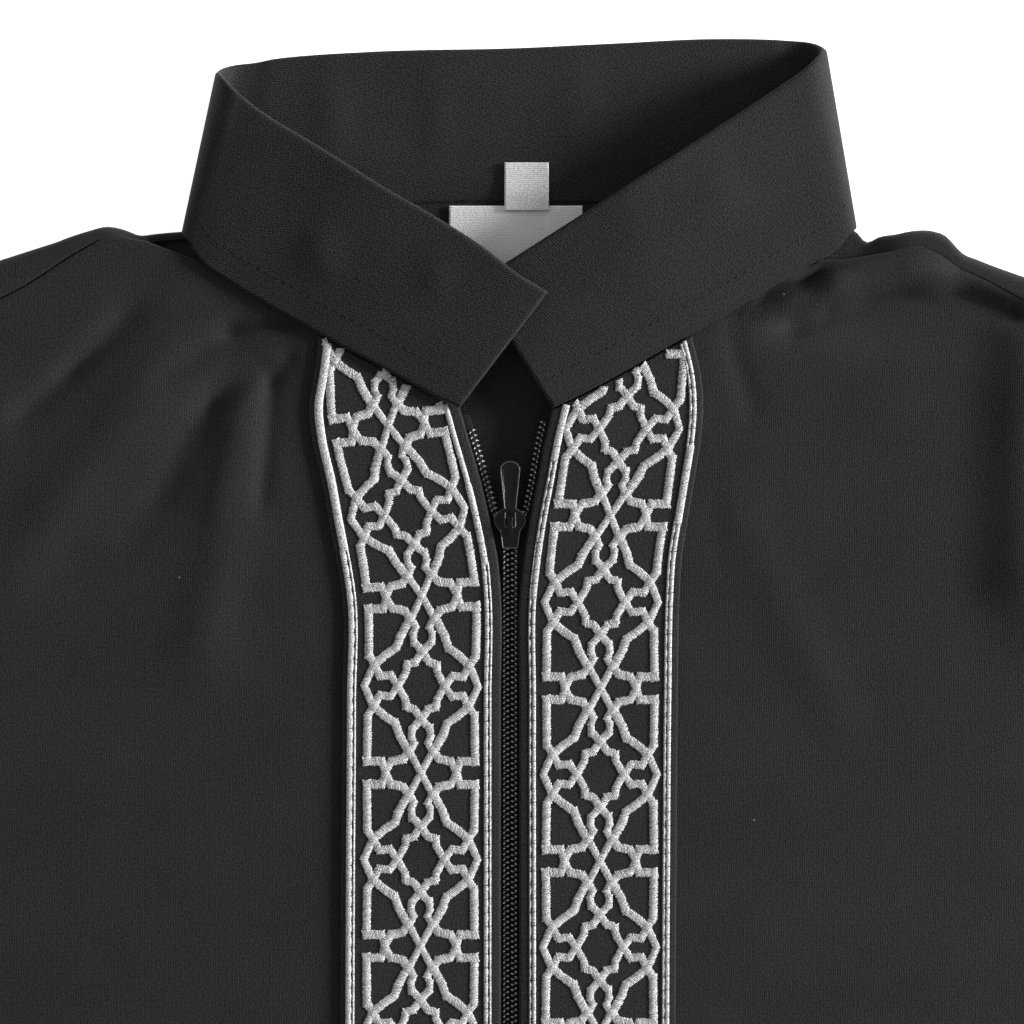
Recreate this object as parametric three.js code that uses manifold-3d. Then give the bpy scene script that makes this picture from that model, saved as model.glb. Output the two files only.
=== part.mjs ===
// A jilbab, a long front-zip robe with a stand collar, laid out flat on its back.
// Millimetres. +Y runs from the hem to the collar, +Z up, the underside lies on z = 0.
// Heights along the body are measured from the back neck seam (down is negative) and
// moved to the garment's own centre by neckY. Left is -X and right is +X, as seen from above.
import * as THREE from 'three';
import { mergeVertices } from 'three/addons/utils/BufferGeometryUtils.js';
import Module from 'manifold-3d';

const wasm = await Module();
wasm.setup();

// Driving sizes
const cloth = 1.2;
const seamGap = 0.3;
const garmentLength = 1431;
const collarTop = 49.3;
const neckY = (garmentLength - collarTop) / 2;
const shoulderTip = { x: 235, y: -47 };
const underarm = { x: 290, y: -295 };
const hemSide = { x: 400, y: -1415 };
const sleeve = { length: 590, fall: 36, cuff: 145, loft: 3.8, foldLength: 560, foldWidth: 190 };
const rollRadius = 3.1;
const seamHeight = 2 * rollRadius - cloth / 2;
const collarWall = 1.8;
const collarHeight = seamHeight + cloth / 2 + seamGap + collarWall / 2;
const zip = { top: -64.5, end: -505, slotHalf: 2.7, tape: 14, nose: -92, foot: -103 };
const bandEnd = -525;
const braidToFold = 4.1;
const braidToEdge = 2.9;
const bandWall = 1;

// The silhouette of each shoulder, where the back rolls forward, and how far it reaches
// over to the shoulder seam. The two sides lie a little differently.
const shoulderRows = [
  { x: 98.8, leftFold: -11.3, leftFlap: 3.6, rightFold: -9.9, rightFlap: 4.4 },
  { x: 104.6, leftFold: -9.3, leftFlap: 4.7, rightFold: -11.2, rightFlap: 4.2 },
  { x: 106.8, leftFold: -9.4, leftFlap: 4.6, rightFold: -11.8, rightFlap: 4.1 },
  { x: 112, leftFold: -9.6, leftFlap: 4.3, rightFold: -10, rightFlap: 4.1 },
  { x: 121, leftFold: -7.9, leftFlap: 4, rightFold: -8.7, rightFlap: 4.4 },
  { x: 129, leftFold: -10.2, leftFlap: 5.5, rightFold: -9.6, rightFlap: 5 },
  { x: 136, leftFold: -12.3, leftFlap: 7.5, rightFold: -15.8, rightFlap: 5.2 },
  { x: 154, leftFold: -18, leftFlap: 11.7, rightFold: -22.5, rightFlap: 6.9 },
  { x: 180, leftFold: -26.5, leftFlap: 12, rightFold: -30, rightFlap: 9 },
  { x: 208, leftFold: -36.5, leftFlap: 12, rightFold: -38, rightFlap: 11 },
  { x: 235, leftFold: -47, leftFlap: 12, rightFold: -47, rightFlap: 12 },
];

// The collar strip, from its left front tip round the back to its right front tip:
// top edge (tx, ty), seam edge (bx, by), how far a tip is lifted over the other, and how
// much higher than the seam edge the top edge stands. Where the strip turns over, its top
// edge is drawn up and down by `nose`, so that the corner is round.
const collarRows = {
  left: [
    { tx: 11.3, ty: -28.4, bx: -15, by: -62.4, lift: 1.5, rise: 6 },
    { tx: 3, ty: -23.4, bx: -23.4, by: -58.5, lift: 1.5, rise: 6.5 },
    { tx: -8.6, ty: -14.6, bx: -36, by: -51.6, lift: 1.4, rise: 7 },
    { tx: -22.7, ty: -5.8, bx: -47, by: -45.8, lift: 1, rise: 8 },
    { tx: -35.5, ty: 1.5, bx: -56.7, by: -40.5, lift: 0.5, rise: 9 },
    { tx: -55.9, ty: 14.2, bx: -72, by: -31.8, lift: 0.1, rise: 9 },
    { tx: -73.1, ty: 24.7, bx: -84.3, by: -24.3, lift: 0, rise: 9 },
    { tx: -79.4, ty: 29.6, bx: -92.3, by: -18.5, lift: 0, rise: 9 },
  ],
  leftFold: { tx: -87.9, ty: 37.8, bx: -98.9, by: -10.4, rise: 9, nose: 1.6 },
  back: [
    { tx: -71, ty: 43.9, bx: -80, by: -6.2 },
    { tx: -43.2, ty: 45.7, bx: -48, by: -2 },
    { tx: 3, ty: 46.7, bx: 0, by: 0 },
    { tx: 32.2, ty: 48, bx: 34, by: -0.8 },
    { tx: 60.4, ty: collarTop, bx: 66, by: -3.4 },
    { tx: 79, ty: 49.1, bx: 88, by: -6.2 },
  ],
  rightFold: { tx: 94.6, ty: 44.6, bx: 104.4, by: -8.7, rise: 9, nose: 1.9 },
  right: [
    { tx: 85.8, ty: 36.4, bx: 98, by: -15, rise: 9 },
    { tx: 80.8, ty: 33, bx: 92, by: -18.4, rise: 9 },
    { tx: 67, ty: 23.9, bx: 78, by: -26.4, rise: 9 },
    { tx: 51.3, ty: 13.8, bx: 62.1, by: -36, rise: 9 },
    { tx: 33.5, ty: 2.4, bx: 48.3, by: -43.5, rise: 8.5 },
    { tx: 21.4, ty: -5.2, bx: 38, by: -49.4, rise: 7 },
    { tx: 3.3, ty: -16.5, bx: 24, by: -57, rise: 4.5 },
    { tx: -10.7, ty: -25.3, bx: 12.9, by: -62.4, rise: 2.5 },
  ],
};

// The four braid lines of the two front bands, by height along the body.
const braidRows = [
  { y: -30, leftOuter: -54, leftInner: -27, rightInner: 25, rightOuter: 49 },
  { y: -42, leftOuter: -54.6, leftInner: -24.5, rightInner: 22.5, rightOuter: 51.8 },
  { y: -52, leftOuter: -55.8, leftInner: -22, rightInner: 19.5, rightOuter: 54.2 },
  { y: -62, leftOuter: -57.4, leftInner: -19.2, rightInner: 16.8, rightOuter: 55 },
  { y: -72, leftOuter: -56.4, leftInner: -16.4, rightInner: 14.4, rightOuter: 54.3 },
  { y: -84, leftOuter: -53.7, leftInner: -12.9, rightInner: 12.2, rightOuter: 52.4 },
  { y: -96, leftOuter: -51.5, leftInner: -10, rightInner: 9.9, rightOuter: 50.4 },
  { y: -108, leftOuter: -49.2, leftInner: -7.7, rightInner: 8.1, rightOuter: 48.6 },
  { y: -118, leftOuter: -47.6, leftInner: -6.8, rightInner: 7, rightOuter: 48 },
  { y: -150, leftOuter: -47.5, leftInner: -6.8, rightInner: 6.8, rightOuter: 47.4 },
  { y: -200, leftOuter: -47.8, leftInner: -6.8, rightInner: 6.8, rightOuter: 47 },
  { y: bandEnd, leftOuter: -47.8, leftInner: -6.8, rightInner: 6.8, rightOuter: 47 },
];

// Soft ridges and troughs in the two fronts: from one point to another.
const frontFolds = [
  { x0: -106, y0: -52, x1: -150, y1: -112, height: 3.2, width: 9 },
  { x0: -114, y0: -34, x1: -143, y1: -64, height: -2.4, width: 6 },
  { x0: -82, y0: -50, x1: -112, y1: -98, height: -2.2, width: 6 },
  { x0: -80, y0: -74, x1: -92, y1: -128, height: 2.2, width: 9 },
  { x0: -67, y0: -48, x1: -74, y1: -82, height: -1.6, width: 5 },
  { x0: 76, y0: -28, x1: 124, y1: -17, height: 2.6, width: 6 },
  { x0: 86, y0: -37, x1: 152, y1: -34, height: -2.2, width: 5 },
  { x0: 120, y0: -50, x1: 190, y1: -66, height: 2.8, width: 12 },
  { x0: -185, y0: -120, x1: -250, y1: -250, height: 4, width: 16 },
  { x0: 180, y0: -130, x1: 248, y1: -262, height: 4.4, width: 16 },
  { x0: -105, y0: -330, x1: -150, y1: -1400, height: 5, width: 20 },
  { x0: -215, y0: -420, x1: -270, y1: -1410, height: 4.4, width: 22 },
  { x0: 112, y0: -360, x1: 140, y1: -1405, height: 4.6, width: 20 },
  { x0: 205, y0: -400, x1: 290, y1: -1405, height: 5, width: 24 },
  { x0: -60, y0: -700, x1: -50, y1: -1420, height: 3, width: 18 },
  { x0: 58, y0: -640, x1: 66, y1: -1420, height: 3.2, width: 18 },
];

// Folds in the upper layer of a sleeve, as fractions of its length and width.
const sleeveFolds = [
  { s0: 0.04, t0: 0.3, s1: 0.3, t1: 0.8, height: 3, width: 14 },
  { s0: 0.34, t0: 0.9, s1: 0.56, t1: 0.3, height: 3.4, width: 12 },
  { s0: 0.5, t0: 0.85, s1: 0.72, t1: 0.42, height: 2.6, width: 12 },
  { s0: 0.74, t0: 0.2, s1: 0.96, t1: 0.36, height: 2, width: 11 },
];

const lerp = THREE.MathUtils.lerp;
const clamp = THREE.MathUtils.clamp;
const ease = (value) => THREE.MathUtils.smoothstep(value, 0, 1);
const place = (x, y, z) => new THREE.Vector3(x, y + neckY, z);
const range = (count) => Array.from({ length: count }, (_, index) => index);

// A column of a table, read between its rows along the column named by `along`.
function readTable(rows, along, column, value) {
  const rising = rows[1][along] > rows[0][along];
  let next = rows.findIndex((row) => (rising ? row[along] >= value : row[along] <= value));
  if (next < 0) next = rows.length - 1;
  if (next === 0) next = 1;
  const before = rows[next - 1];
  const after = rows[next];
  const share = clamp((value - before[along]) / (after[along] - before[along]), 0, 1);
  return lerp(before[column], after[column], share);
}

// ---- Outlines -------------------------------------------------------------------

const sideName = (side) => (side < 0 ? 'left' : 'right');
const foldY = (x, side) => readTable(shoulderRows, 'x', `${sideName(side)}Fold`, x);
const flapWidth = (x, side) => readTable(shoulderRows, 'x', `${sideName(side)}Flap`, x);
const shoulderSeamY = (x, side) => foldY(x, side) - flapWidth(x, side);

// Distance of the armhole and the side seam from the centre line.
function sideX(y) {
  if (y > underarm.y) {
    const share = clamp((shoulderTip.y - y) / (shoulderTip.y - underarm.y), 0, 1);
    return lerp(shoulderTip.x, underarm.x, share ** 2);
  }
  const share = (underarm.y - y) / (underarm.y - hemSide.y);
  return lerp(underarm.x, hemSide.x, share);
}

const hemY = (x) => lerp(-garmentLength, hemSide.y, (x / hemSide.x) ** 2);

// The collar's seam edge on a front, by distance from the centre line.
function collarSeamY(x, side) {
  const fold = collarRows[`${sideName(side)}Fold`];
  const rows = [...collarRows[sideName(side)], fold];
  rows.sort((a, b) => Math.abs(a.bx) - Math.abs(b.bx));
  return readTable(rows.map((row) => ({ x: Math.abs(row.bx), y: row.by })), 'x', 'y', x);
}

// Neck edge of a front: it passes under the collar, and stays clear where the collar turns.
function frontTopY(x, side) {
  if (x > shoulderRows[0].x) return shoulderSeamY(x, side) - seamGap;
  const tuck = lerp(3, -0.6, ease((x - 78) / 14));
  return Math.min(collarSeamY(x, side) + tuck, shoulderSeamY(shoulderRows[0].x, side) - seamGap);
}

const braidX = (name, y) => readTable(braidRows, 'y', name, y);

// The folded front edge beside the zip, then the closed centre seam below it.
function foldedEdgeX(y, side) {
  const open = Math.abs(braidX(`${sideName(side)}Inner`, y)) - braidToFold;
  const closing = ease((zip.end - 4 - y) / 14);
  return lerp(open, seamGap / 2, closing);
}

// ---- Height of the fronts' middle surface ---------------------------------------

// Heights of the middle surface, how far each one reaches, and where folds fade out.
const lie = {
  centre: 5.1,
  centreBelow: 3,
  belowFade: 110,
  underarm: 3.2,
  side: 2.1,
  sideFade: 100,
  plateau: 20,
  topReach: 34,
  foldsFrom: 52,
  foldsFull: 78,
  foldsDown: 12,
  foldsEdge: 0.14,
};

function foldBump(fold, x, y) {
  const dx = fold.x1 - fold.x0;
  const dy = fold.y1 - fold.y0;
  const length = Math.hypot(dx, dy);
  const along = ((x - fold.x0) * dx + (y - fold.y0) * dy) / length;
  const across = ((x - fold.x0) * dy - (y - fold.y0) * dx) / length;
  const past = Math.max(-along, along - length, 0) / (fold.width * 1.5);
  return fold.height * Math.exp(-((across / fold.width) ** 2) - past ** 2);
}

function frontHeight(x, y) {
  const side = Math.sign(x) || 1;
  const reach = Math.abs(x);
  const centre = lerp(lie.centre, lie.centreBelow, ease((bandEnd - y) / lie.belowFade));
  const upArmhole = clamp((y - underarm.y) / (shoulderTip.y - underarm.y), 0, 1);
  const armhole = lerp(lie.underarm, seamHeight, upArmhole);
  const sideSeam = lerp(lie.underarm, lie.side, ease((underarm.y - y) / lie.sideFade));
  const edge = y > underarm.y ? armhole : sideSeam;
  const out = clamp((reach - lie.plateau) / (sideX(y) - lie.plateau), 0, 1);
  const plain = lerp(centre, edge, ease(out));
  const below = Math.max(frontTopY(Math.min(reach, shoulderTip.x), side) - y, 0);
  const top = Math.exp(-((below / lie.topReach) ** 2));
  const inner = ease((reach - lie.foldsFrom) / (lie.foldsFull - lie.foldsFrom));
  const outer = ease((1 - out) / lie.foldsEdge);
  const free = Math.min(1, below / lie.foldsDown) * inner * outer;
  const folds = frontFolds.reduce((sum, fold) => sum + foldBump(fold, x, y), 0);
  return Math.max(lerp(plain, seamHeight, top) + folds * free, lie.side);
}

// ---- Solids ---------------------------------------------------------------------

function closedGeometry(points, faces) {
  const geometry = new THREE.BufferGeometry();
  const positions = points.flatMap((point) => [point.x, point.y, point.z]);
  geometry.setAttribute('position', new THREE.Float32BufferAttribute(positions, 3));
  const volume = faces.reduce((sum, [a, b, c]) => (
    sum + points[a].dot(new THREE.Vector3().crossVectors(points[b], points[c]))), 0);
  geometry.setIndex(faces.flatMap(([a, b, c]) => (volume > 0 ? [a, b, c] : [a, c, b])));
  return geometry;
}

// A wall between two grids of points, closed round its rim.
function wallBetween(lower, upper) {
  const rows = lower.length;
  const columns = lower[0].length;
  const points = [...lower.flat(), ...upper.flat()];
  const low = (row, column) => row * columns + column;
  const high = (row, column) => rows * columns + low(row, column);
  const faces = [];
  const quad = (a, b, c, d) => faces.push([a, b, c], [a, c, d]);
  for (let row = 0; row < rows - 1; row += 1) {
    for (let column = 0; column < columns - 1; column += 1) {
      quad(high(row, column), high(row, column + 1), high(row + 1, column + 1), high(row + 1, column));
      quad(low(row, column), low(row + 1, column), low(row + 1, column + 1), low(row, column + 1));
    }
    quad(low(row, 0), high(row, 0), high(row + 1, 0), low(row + 1, 0));
    quad(high(row, columns - 1), low(row, columns - 1), low(row + 1, columns - 1), high(row + 1, columns - 1));
  }
  for (let column = 0; column < columns - 1; column += 1) {
    quad(low(0, column), low(0, column + 1), high(0, column + 1), high(0, column));
    quad(high(rows - 1, column), high(rows - 1, column + 1), low(rows - 1, column + 1), low(rows - 1, column));
  }
  return closedGeometry(points, faces);
}

// A wall of even thickness about a middle surface, offset along its normals.
function wallAbout(grid, thickness) {
  const last = (list) => list.length - 1;
  const normalAt = (row, column) => {
    const down = grid[Math.min(row + 1, last(grid))][column].clone().sub(grid[Math.max(row - 1, 0)][column]);
    const line = grid[row];
    const over = line[Math.min(column + 1, last(line))].clone().sub(line[Math.max(column - 1, 0)]);
    return over.cross(down).normalize();
  };
  const moved = (amount) => grid.map((line, row) => line.map((point, column) => (
    point.clone().addScaledVector(normalAt(row, column), amount))));
  return wallBetween(moved(-thickness / 2), moved(thickness / 2));
}

// A wall of even height about a middle surface that lies nearly level.
function levelWall(grid, thickness) {
  const moved = (amount) => grid.map((line) => line.map((point) => (
    new THREE.Vector3(point.x, point.y, point.z + amount))));
  return wallBetween(moved(-thickness / 2), moved(thickness / 2));
}

// A tube with a wall: outer and inner loops at each station, joined at both ends.
function tubeWall(outerLoops, innerLoops) {
  const stations = outerLoops.length;
  const sides = outerLoops[0].length;
  const points = [...outerLoops.flat(), ...innerLoops.flat()];
  const outer = (station, index) => station * sides + (index % sides);
  const inner = (station, index) => stations * sides + outer(station, index);
  const faces = [];
  const quad = (a, b, c, d) => faces.push([a, b, c], [a, c, d]);
  for (let index = 0; index < sides; index += 1) {
    for (let station = 0; station < stations - 1; station += 1) {
      quad(outer(station, index), outer(station, index + 1), outer(station + 1, index + 1), outer(station + 1, index));
      quad(inner(station, index), inner(station + 1, index), inner(station + 1, index + 1), inner(station, index + 1));
    }
    const end = stations - 1;
    quad(inner(0, index), inner(0, index + 1), outer(0, index + 1), outer(0, index));
    quad(outer(end, index), outer(end, index + 1), inner(end, index + 1), inner(end, index));
  }
  return closedGeometry(points, faces);
}

// A solid strip with one section, carried through a row of stations and capped.
function loftSections(sections) {
  const sides = sections[0].length;
  const points = sections.flat();
  const faces = [];
  for (let station = 0; station < sections.length - 1; station += 1) {
    for (let side = 0; side < sides; side += 1) {
      const next = (side + 1) % sides;
      const a = station * sides + side;
      const b = station * sides + next;
      faces.push([a, b, b + sides], [a, b + sides, a + sides]);
    }
  }
  const flat = sections[0].map((point) => new THREE.Vector2(point.x, point.z));
  const cap = THREE.ShapeUtils.triangulateShape(flat, []);
  const turned = THREE.ShapeUtils.isClockWise(flat);
  const far = (sections.length - 1) * sides;
  cap.forEach(([a, b, c]) => {
    faces.push(turned ? [a, b, c] : [a, c, b]);
    faces.push(turned ? [far + a, far + c, far + b] : [far + a, far + b, far + c]);
  });
  return closedGeometry(points, faces);
}

function toManifold(geometry) {
  const bare = geometry.clone();
  bare.deleteAttribute('normal');
  bare.deleteAttribute('uv');
  const merged = mergeVertices(bare, 1e-4);
  return new wasm.Manifold(new wasm.Mesh({
    numProp: 3,
    vertProperties: new Float32Array(merged.attributes.position.array),
    triVerts: new Uint32Array(merged.index.array),
  }));
}

function fromManifold(solid) {
  const mesh = solid.getMesh();
  const geometry = new THREE.BufferGeometry();
  geometry.setAttribute('position', new THREE.BufferAttribute(mesh.vertProperties, 3));
  geometry.setIndex(new THREE.BufferAttribute(mesh.triVerts, 1));
  return geometry;
}

const joined = (geometries) => fromManifold(geometries.map(toManifold).reduce((sum, solid) => sum.add(solid)));

function cutAway(geometry, cutters) {
  return fromManifold(cutters.map(toManifold).reduce((rest, cutter) => rest.subtract(cutter), toManifold(geometry)));
}

function slab(outline, bottom, top, holes = []) {
  const shape = new THREE.Shape(outline.map(([x, y]) => new THREE.Vector2(x, y + neckY)));
  const geometry = new THREE.ExtrudeGeometry(shape, { depth: top - bottom, bevelEnabled: false });
  geometry.translate(0, 0, bottom);
  return holes.length ? cutAway(geometry, holes) : fromManifold(toManifold(geometry));
}

// ---- Back -----------------------------------------------------------------------

function makeBack() {
  const armholeSteps = 8;
  const sideOutline = (side) => {
    const points = [];
    shoulderRows.forEach(({ x }) => {
      points.push([side * (x - seamGap * (x === shoulderTip.x)), foldY(x, side) - rollRadius - 4]);
    });
    range(armholeSteps).forEach((step) => {
      const y = lerp(shoulderTip.y - rollRadius - 4, underarm.y, (step + 1) / armholeSteps);
      points.push([side * (sideX(y) - seamGap), y]);
    });
    points.push([side * hemSide.x, hemSide.y], [side * hemSide.x / 2, hemY(hemSide.x / 2)]);
    return points;
  };
  const seam = [collarRows.leftFold, ...collarRows.back, collarRows.rightFold];
  const neck = seam.map(({ bx, by }) => [bx, by - seamGap - 0.1]);
  const outline = [...neck, ...sideOutline(1), [0, -garmentLength], ...sideOutline(-1).reverse()];
  const rolls = [-1, 1].map((side) => wallAbout(shoulderRows.map(({ x }) => {
    const end = x === shoulderTip.x ? x - seamGap : x;
    const edge = foldY(x, side) - rollRadius;
    const middle = rollRadius - cloth / 2;
    const arc = range(9).map((step) => {
      const turn = -Math.PI / 2 + (Math.PI * step) / 8;
      return place(side * end, edge + middle * Math.cos(turn), rollRadius + middle * Math.sin(turn));
    });
    const start = place(side * end, edge - 9, cloth / 2);
    return [start, ...arc, place(side * end, Math.min(shoulderSeamY(x, side), edge - 0.8), seamHeight)];
  }), cloth));
  return joined([slab(outline, 0, cloth), ...rolls]);
}

// ---- Fronts ---------------------------------------------------------------------

const neckColumns = 7;
const shoulderColumns = shoulderRows.length - 1;
const chestRows = 15;
const skirtRows = 13;

// A point of a front's outline grid: Coons patch between its four edges.
function frontGrid(side) {
  const topX = (column) => (column <= neckColumns
    ? lerp(13.2, shoulderRows[0].x, column / neckColumns)
    : shoulderRows[column - neckColumns].x - seamGap * (column === neckColumns + shoulderColumns));
  const start = frontTopY(13.2, side);
  const tip = shoulderSeamY(shoulderTip.x, side) - seamGap;
  const outerY = (row) => (row <= chestRows
    ? lerp(tip, underarm.y, row / chestRows)
    : lerp(underarm.y, hemSide.y, ((row - chestRows) / skirtRows) ** 1.2));
  const rows = chestRows + skirtRows;
  const columns = neckColumns + shoulderColumns;
  const share = (row) => (outerY(row) - tip) / (hemSide.y - tip);
  const innerAt = (row) => {
    const y = lerp(start, -garmentLength, share(row));
    return [row === 0 ? 13.2 : foldedEdgeX(y, side), y];
  };
  const outerAt = (row) => [sideX(outerY(row)) - seamGap * (row <= chestRows), outerY(row)];
  const topAt = (column) => [topX(column), frontTopY(topX(column), side)];
  const across = (column) => (topX(column) - topX(0)) / (topX(columns) - topX(0));
  const hemAt = (column) => {
    const x = lerp(seamGap / 2, hemSide.x, across(column));
    return [x, hemY(x)];
  };
  return range(rows + 1).map((row) => range(columns + 1).map((column) => {
    const u = across(column);
    const v = share(row);
    const [x, y] = [0, 1].map((axis) => (
      lerp(innerAt(row)[axis], outerAt(row)[axis], u)
      + lerp(topAt(column)[axis], hemAt(column)[axis], v)
      - lerp(
        lerp(topAt(0)[axis], topAt(columns)[axis], u),
        lerp(hemAt(0)[axis], hemAt(columns)[axis], u),
        v,
      )));
    return place(side * x, y, frontHeight(side * x, y));
  }));
}

// ---- Sleeves --------------------------------------------------------------------

function sleevePoint(s, t, side) {
  const fall = THREE.MathUtils.degToRad(sleeve.fall);
  const outX = shoulderTip.x + sleeve.length * Math.cos(fall);
  const outY = shoulderTip.y - sleeve.length * Math.sin(fall);
  const cuffX = outX - t * sleeve.cuff * Math.sin(fall);
  const cuffY = outY - t * sleeve.cuff * Math.cos(fall);
  const y = lerp(shoulderTip.y, underarm.y, t);
  return [side * lerp(sideX(y), cuffX, s), lerp(y, cuffY, s)];
}

// Height of a sleeve's top layer above the floor, on its outer face.
function sleeveTop(s, t, side) {
  const [armX, armY] = sleevePoint(0, t, side);
  const start = frontHeight(armX, armY - 0.01) + cloth / 2;
  const settle = ease(s / 0.35);
  const plain = lerp(start, sleeve.loft + 1.4 * Math.sin(Math.PI * t), settle);
  const folds = sleeveFolds.reduce((sum, fold) => {
    const { foldLength: long, foldWidth: wide } = sleeve;
    const scaled = { ...fold, x0: fold.s0 * long, x1: fold.s1 * long, y0: fold.t0 * wide, y1: fold.t1 * wide };
    return sum + foldBump(scaled, s * long, t * wide);
  }, 0);
  const free = ease(s / 0.12) * ease(Math.min(t, 1 - t) / 0.2);
  return plain + folds * free;
}

function makeSleeve(side) {
  const stations = range(15).map((step) => (step / 14) ** 1.15);
  const levels = 9;
  const arcSteps = 4;
  const loop = (s, inset) => {
    const width = lerp(Math.abs(shoulderTip.y - underarm.y), sleeve.cuff, s);
    const radius = [0, 1].map((t) => sleeveTop(s, t, side) / 2);
    const spot = (across, z) => {
      const [x, y] = sleevePoint(s, across / width, side);
      return place(x, y, z);
    };
    const flat = range(levels).map((step) => lerp(radius[0], width - radius[1], step / (levels - 1)));
    const bottom = flat.map((across) => spot(across, inset));
    const turnUp = range(arcSteps - 1).map((step) => {
      const turn = -Math.PI / 2 + (Math.PI * (step + 1)) / arcSteps;
      const size = radius[1] - inset;
      return spot(width - radius[1] + size * Math.cos(turn), radius[1] + size * Math.sin(turn));
    });
    const top = flat.slice().reverse().map((across) => (
      spot(across, sleeveTop(s, clamp((across - radius[0]) / (width - radius[0] - radius[1]), 0, 1), side) - inset)));
    const turnDown = range(arcSteps - 1).map((step) => {
      const turn = Math.PI / 2 + (Math.PI * (step + 1)) / arcSteps;
      const size = radius[0] - inset;
      return spot(radius[0] + size * Math.cos(turn), radius[0] + size * Math.sin(turn));
    });
    return [...bottom, ...turnUp, ...top, ...turnDown];
  };
  return tubeWall(stations.map((s) => loop(s, 0)), stations.map((s) => loop(s, cloth)));
}

// ---- Collar ---------------------------------------------------------------------

function makeCollar() {
  const steps = range(6).map((step) => step / 5);
  const arcSteps = 7;
  const noseAbove = 0.6;
  const { left, leftFold, back, rightFold, right } = collarRows;
  const across = (row, up) => [lerp(row.bx, row.tx, up), lerp(row.by, row.ty, up)];
  const line = (row, heightAt) => steps.map((up) => place(...across(row, up), heightAt(up)));
  const frontLine = (row) => line(row, (up) => collarHeight + (row.lift ?? 0) + row.rise * up);
  const backLine = (row) => line(row, () => collarWall / 2);
  // Each turn runs towards the front row over it, then towards the back row under it.
  const foldLines = (row, side, frontRow, backRow) => range(arcSteps).map((step) => {
    const turn = -side * Math.PI * (0.5 - step / (arcSteps - 1));
    const beside = turn > 0 ? frontRow : backRow;
    return steps.map((up) => {
      const radius = (collarHeight + row.rise * up - collarWall / 2) / 2;
      const [x, y] = across(row, up);
      const [nextX, nextY] = across(beside, up);
      const share = (radius * (1 - Math.cos(turn))) / Math.hypot(nextX - x, nextY - y);
      const z = collarWall / 2 + radius * (1 + Math.sin(turn));
      const nose = -row.nose * Math.sin(turn) * (turn > 0 ? noseAbove : 1) * up;
      return place(lerp(x, nextX, share) - (side * collarWall) / 2, lerp(y, nextY, share) + nose, z);
    });
  });
  return wallAbout([
    ...left.map(frontLine),
    ...foldLines(leftFold, -1, left[left.length - 1], back[0]),
    ...back.map(backLine),
    ...foldLines(rightFold, 1, right[0], back[back.length - 1]),
    ...right.map(frontLine),
  ], collarWall);
}

// ---- Bands beside the zip -------------------------------------------------------

function makeBand(side) {
  const name = sideName(side);
  const columns = 6;
  const rows = 34;
  const innerX = (y) => Math.abs(braidX(`${name}Inner`, y)) - braidToFold + 0.2;
  const outerX = (y) => Math.abs(braidX(`${name}Outer`, y)) + braidToEdge;
  const top = range(columns + 1).map((column) => {
    let y = -60;
    range(6).forEach(() => {
      y = collarSeamY(lerp(innerX(y), outerX(y), column / columns), side) - seamGap - 0.3;
    });
    return y;
  });
  const grid = range(rows + 1).map((row) => range(columns + 1).map((column) => {
    const y = lerp(top[column], bandEnd, (row / rows) ** 1.35);
    const x = side * lerp(innerX(y), outerX(y), column / columns);
    return place(x, y, frontHeight(x, y) + cloth / 2 + seamGap + bandWall / 2);
  }));
  return levelWall(grid, bandWall);
}

// ---- Zip ------------------------------------------------------------------------

// Section of one half: a coil with chamfered corners, then the tape that carries it.
const coil = { bottom: 2.7, top: 4.9, chamfer: 0.4, width: 1.9, root: 2.25 };
const tape = { bottom: 3.2, top: 4.2 };

// Inner edge of a coil: closed below the slider, and beside the folded edge above it.
function coilX(y, side) {
  const closed = seamGap / 2;
  const open = foldedEdgeX(y, side) - (zip.slotHalf - closed);
  return lerp(closed, Math.max(open, closed), ease((y - zip.foot) / (zip.nose - zip.foot)));
}

function makeZipHalf(side) {
  const { bottom, top, chamfer, width, root } = coil;
  const profile = [
    [0, bottom + chamfer], [chamfer, bottom], [width, bottom], [root, tape.bottom], [zip.tape, tape.bottom],
    [zip.tape, tape.top], [root, tape.top], [width, top], [chamfer, top], [0, top - chamfer],
  ];
  const closedYs = [zip.end, -420, -330, -240, -160, -120];
  const openSteps = 14;
  const ys = [...closedYs, ...range(openSteps + 1).map((step) => lerp(zip.foot, zip.top, step / openSteps))];
  return loftSections(ys.map((y) => profile.map(([out, z]) => place(side * (coilX(y, side) + out), y, z))));
}

const slider = { y: -96.1, head: 4.8, bodyHalf: 3, foot: -104.6, top: 6.1, bottom: 1.5, plate: 1 };
const pivot = { x: 0, y: -97.9, z: 6.9 };
const bail = { half: 0.7, gap: 1.4, leg: 1.2, under: 0.8, rise: 1.8, sunk: 0.4 };
const divider = { back: 0.6, taper: 1.6, length: 5.4, nose: 1.2, half: 1.9 };
const pull = {
  length: 20.1, narrow: 1.75, wide: 3.03, neck: 5, shoulder: 2.6, half: 0.5, rim: 0.7,
  eye: { half: 1.15, far: 4 },
  step: 4.4,
  panel: { near: 7, far: 17.2, nearHalf: 1.5, farHalf: 2.1, floor: 0.4 },
};

function discOutline(radius, centreY, squash, footHalf, footY) {
  const points = [];
  const steps = 18;
  const start = -0.22 * Math.PI;
  const sweep = 1.44 * Math.PI;
  range(steps + 1).forEach((step) => {
    const turn = start + (sweep * step) / steps;
    points.push([radius * Math.cos(turn), centreY + squash * radius * Math.sin(turn)]);
  });
  points.push([-footHalf, centreY - squash * radius * 0.9], [-footHalf + 0.6, footY]);
  points.push([footHalf - 0.6, footY], [footHalf, centreY - squash * radius * 0.9]);
  return points;
}

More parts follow.
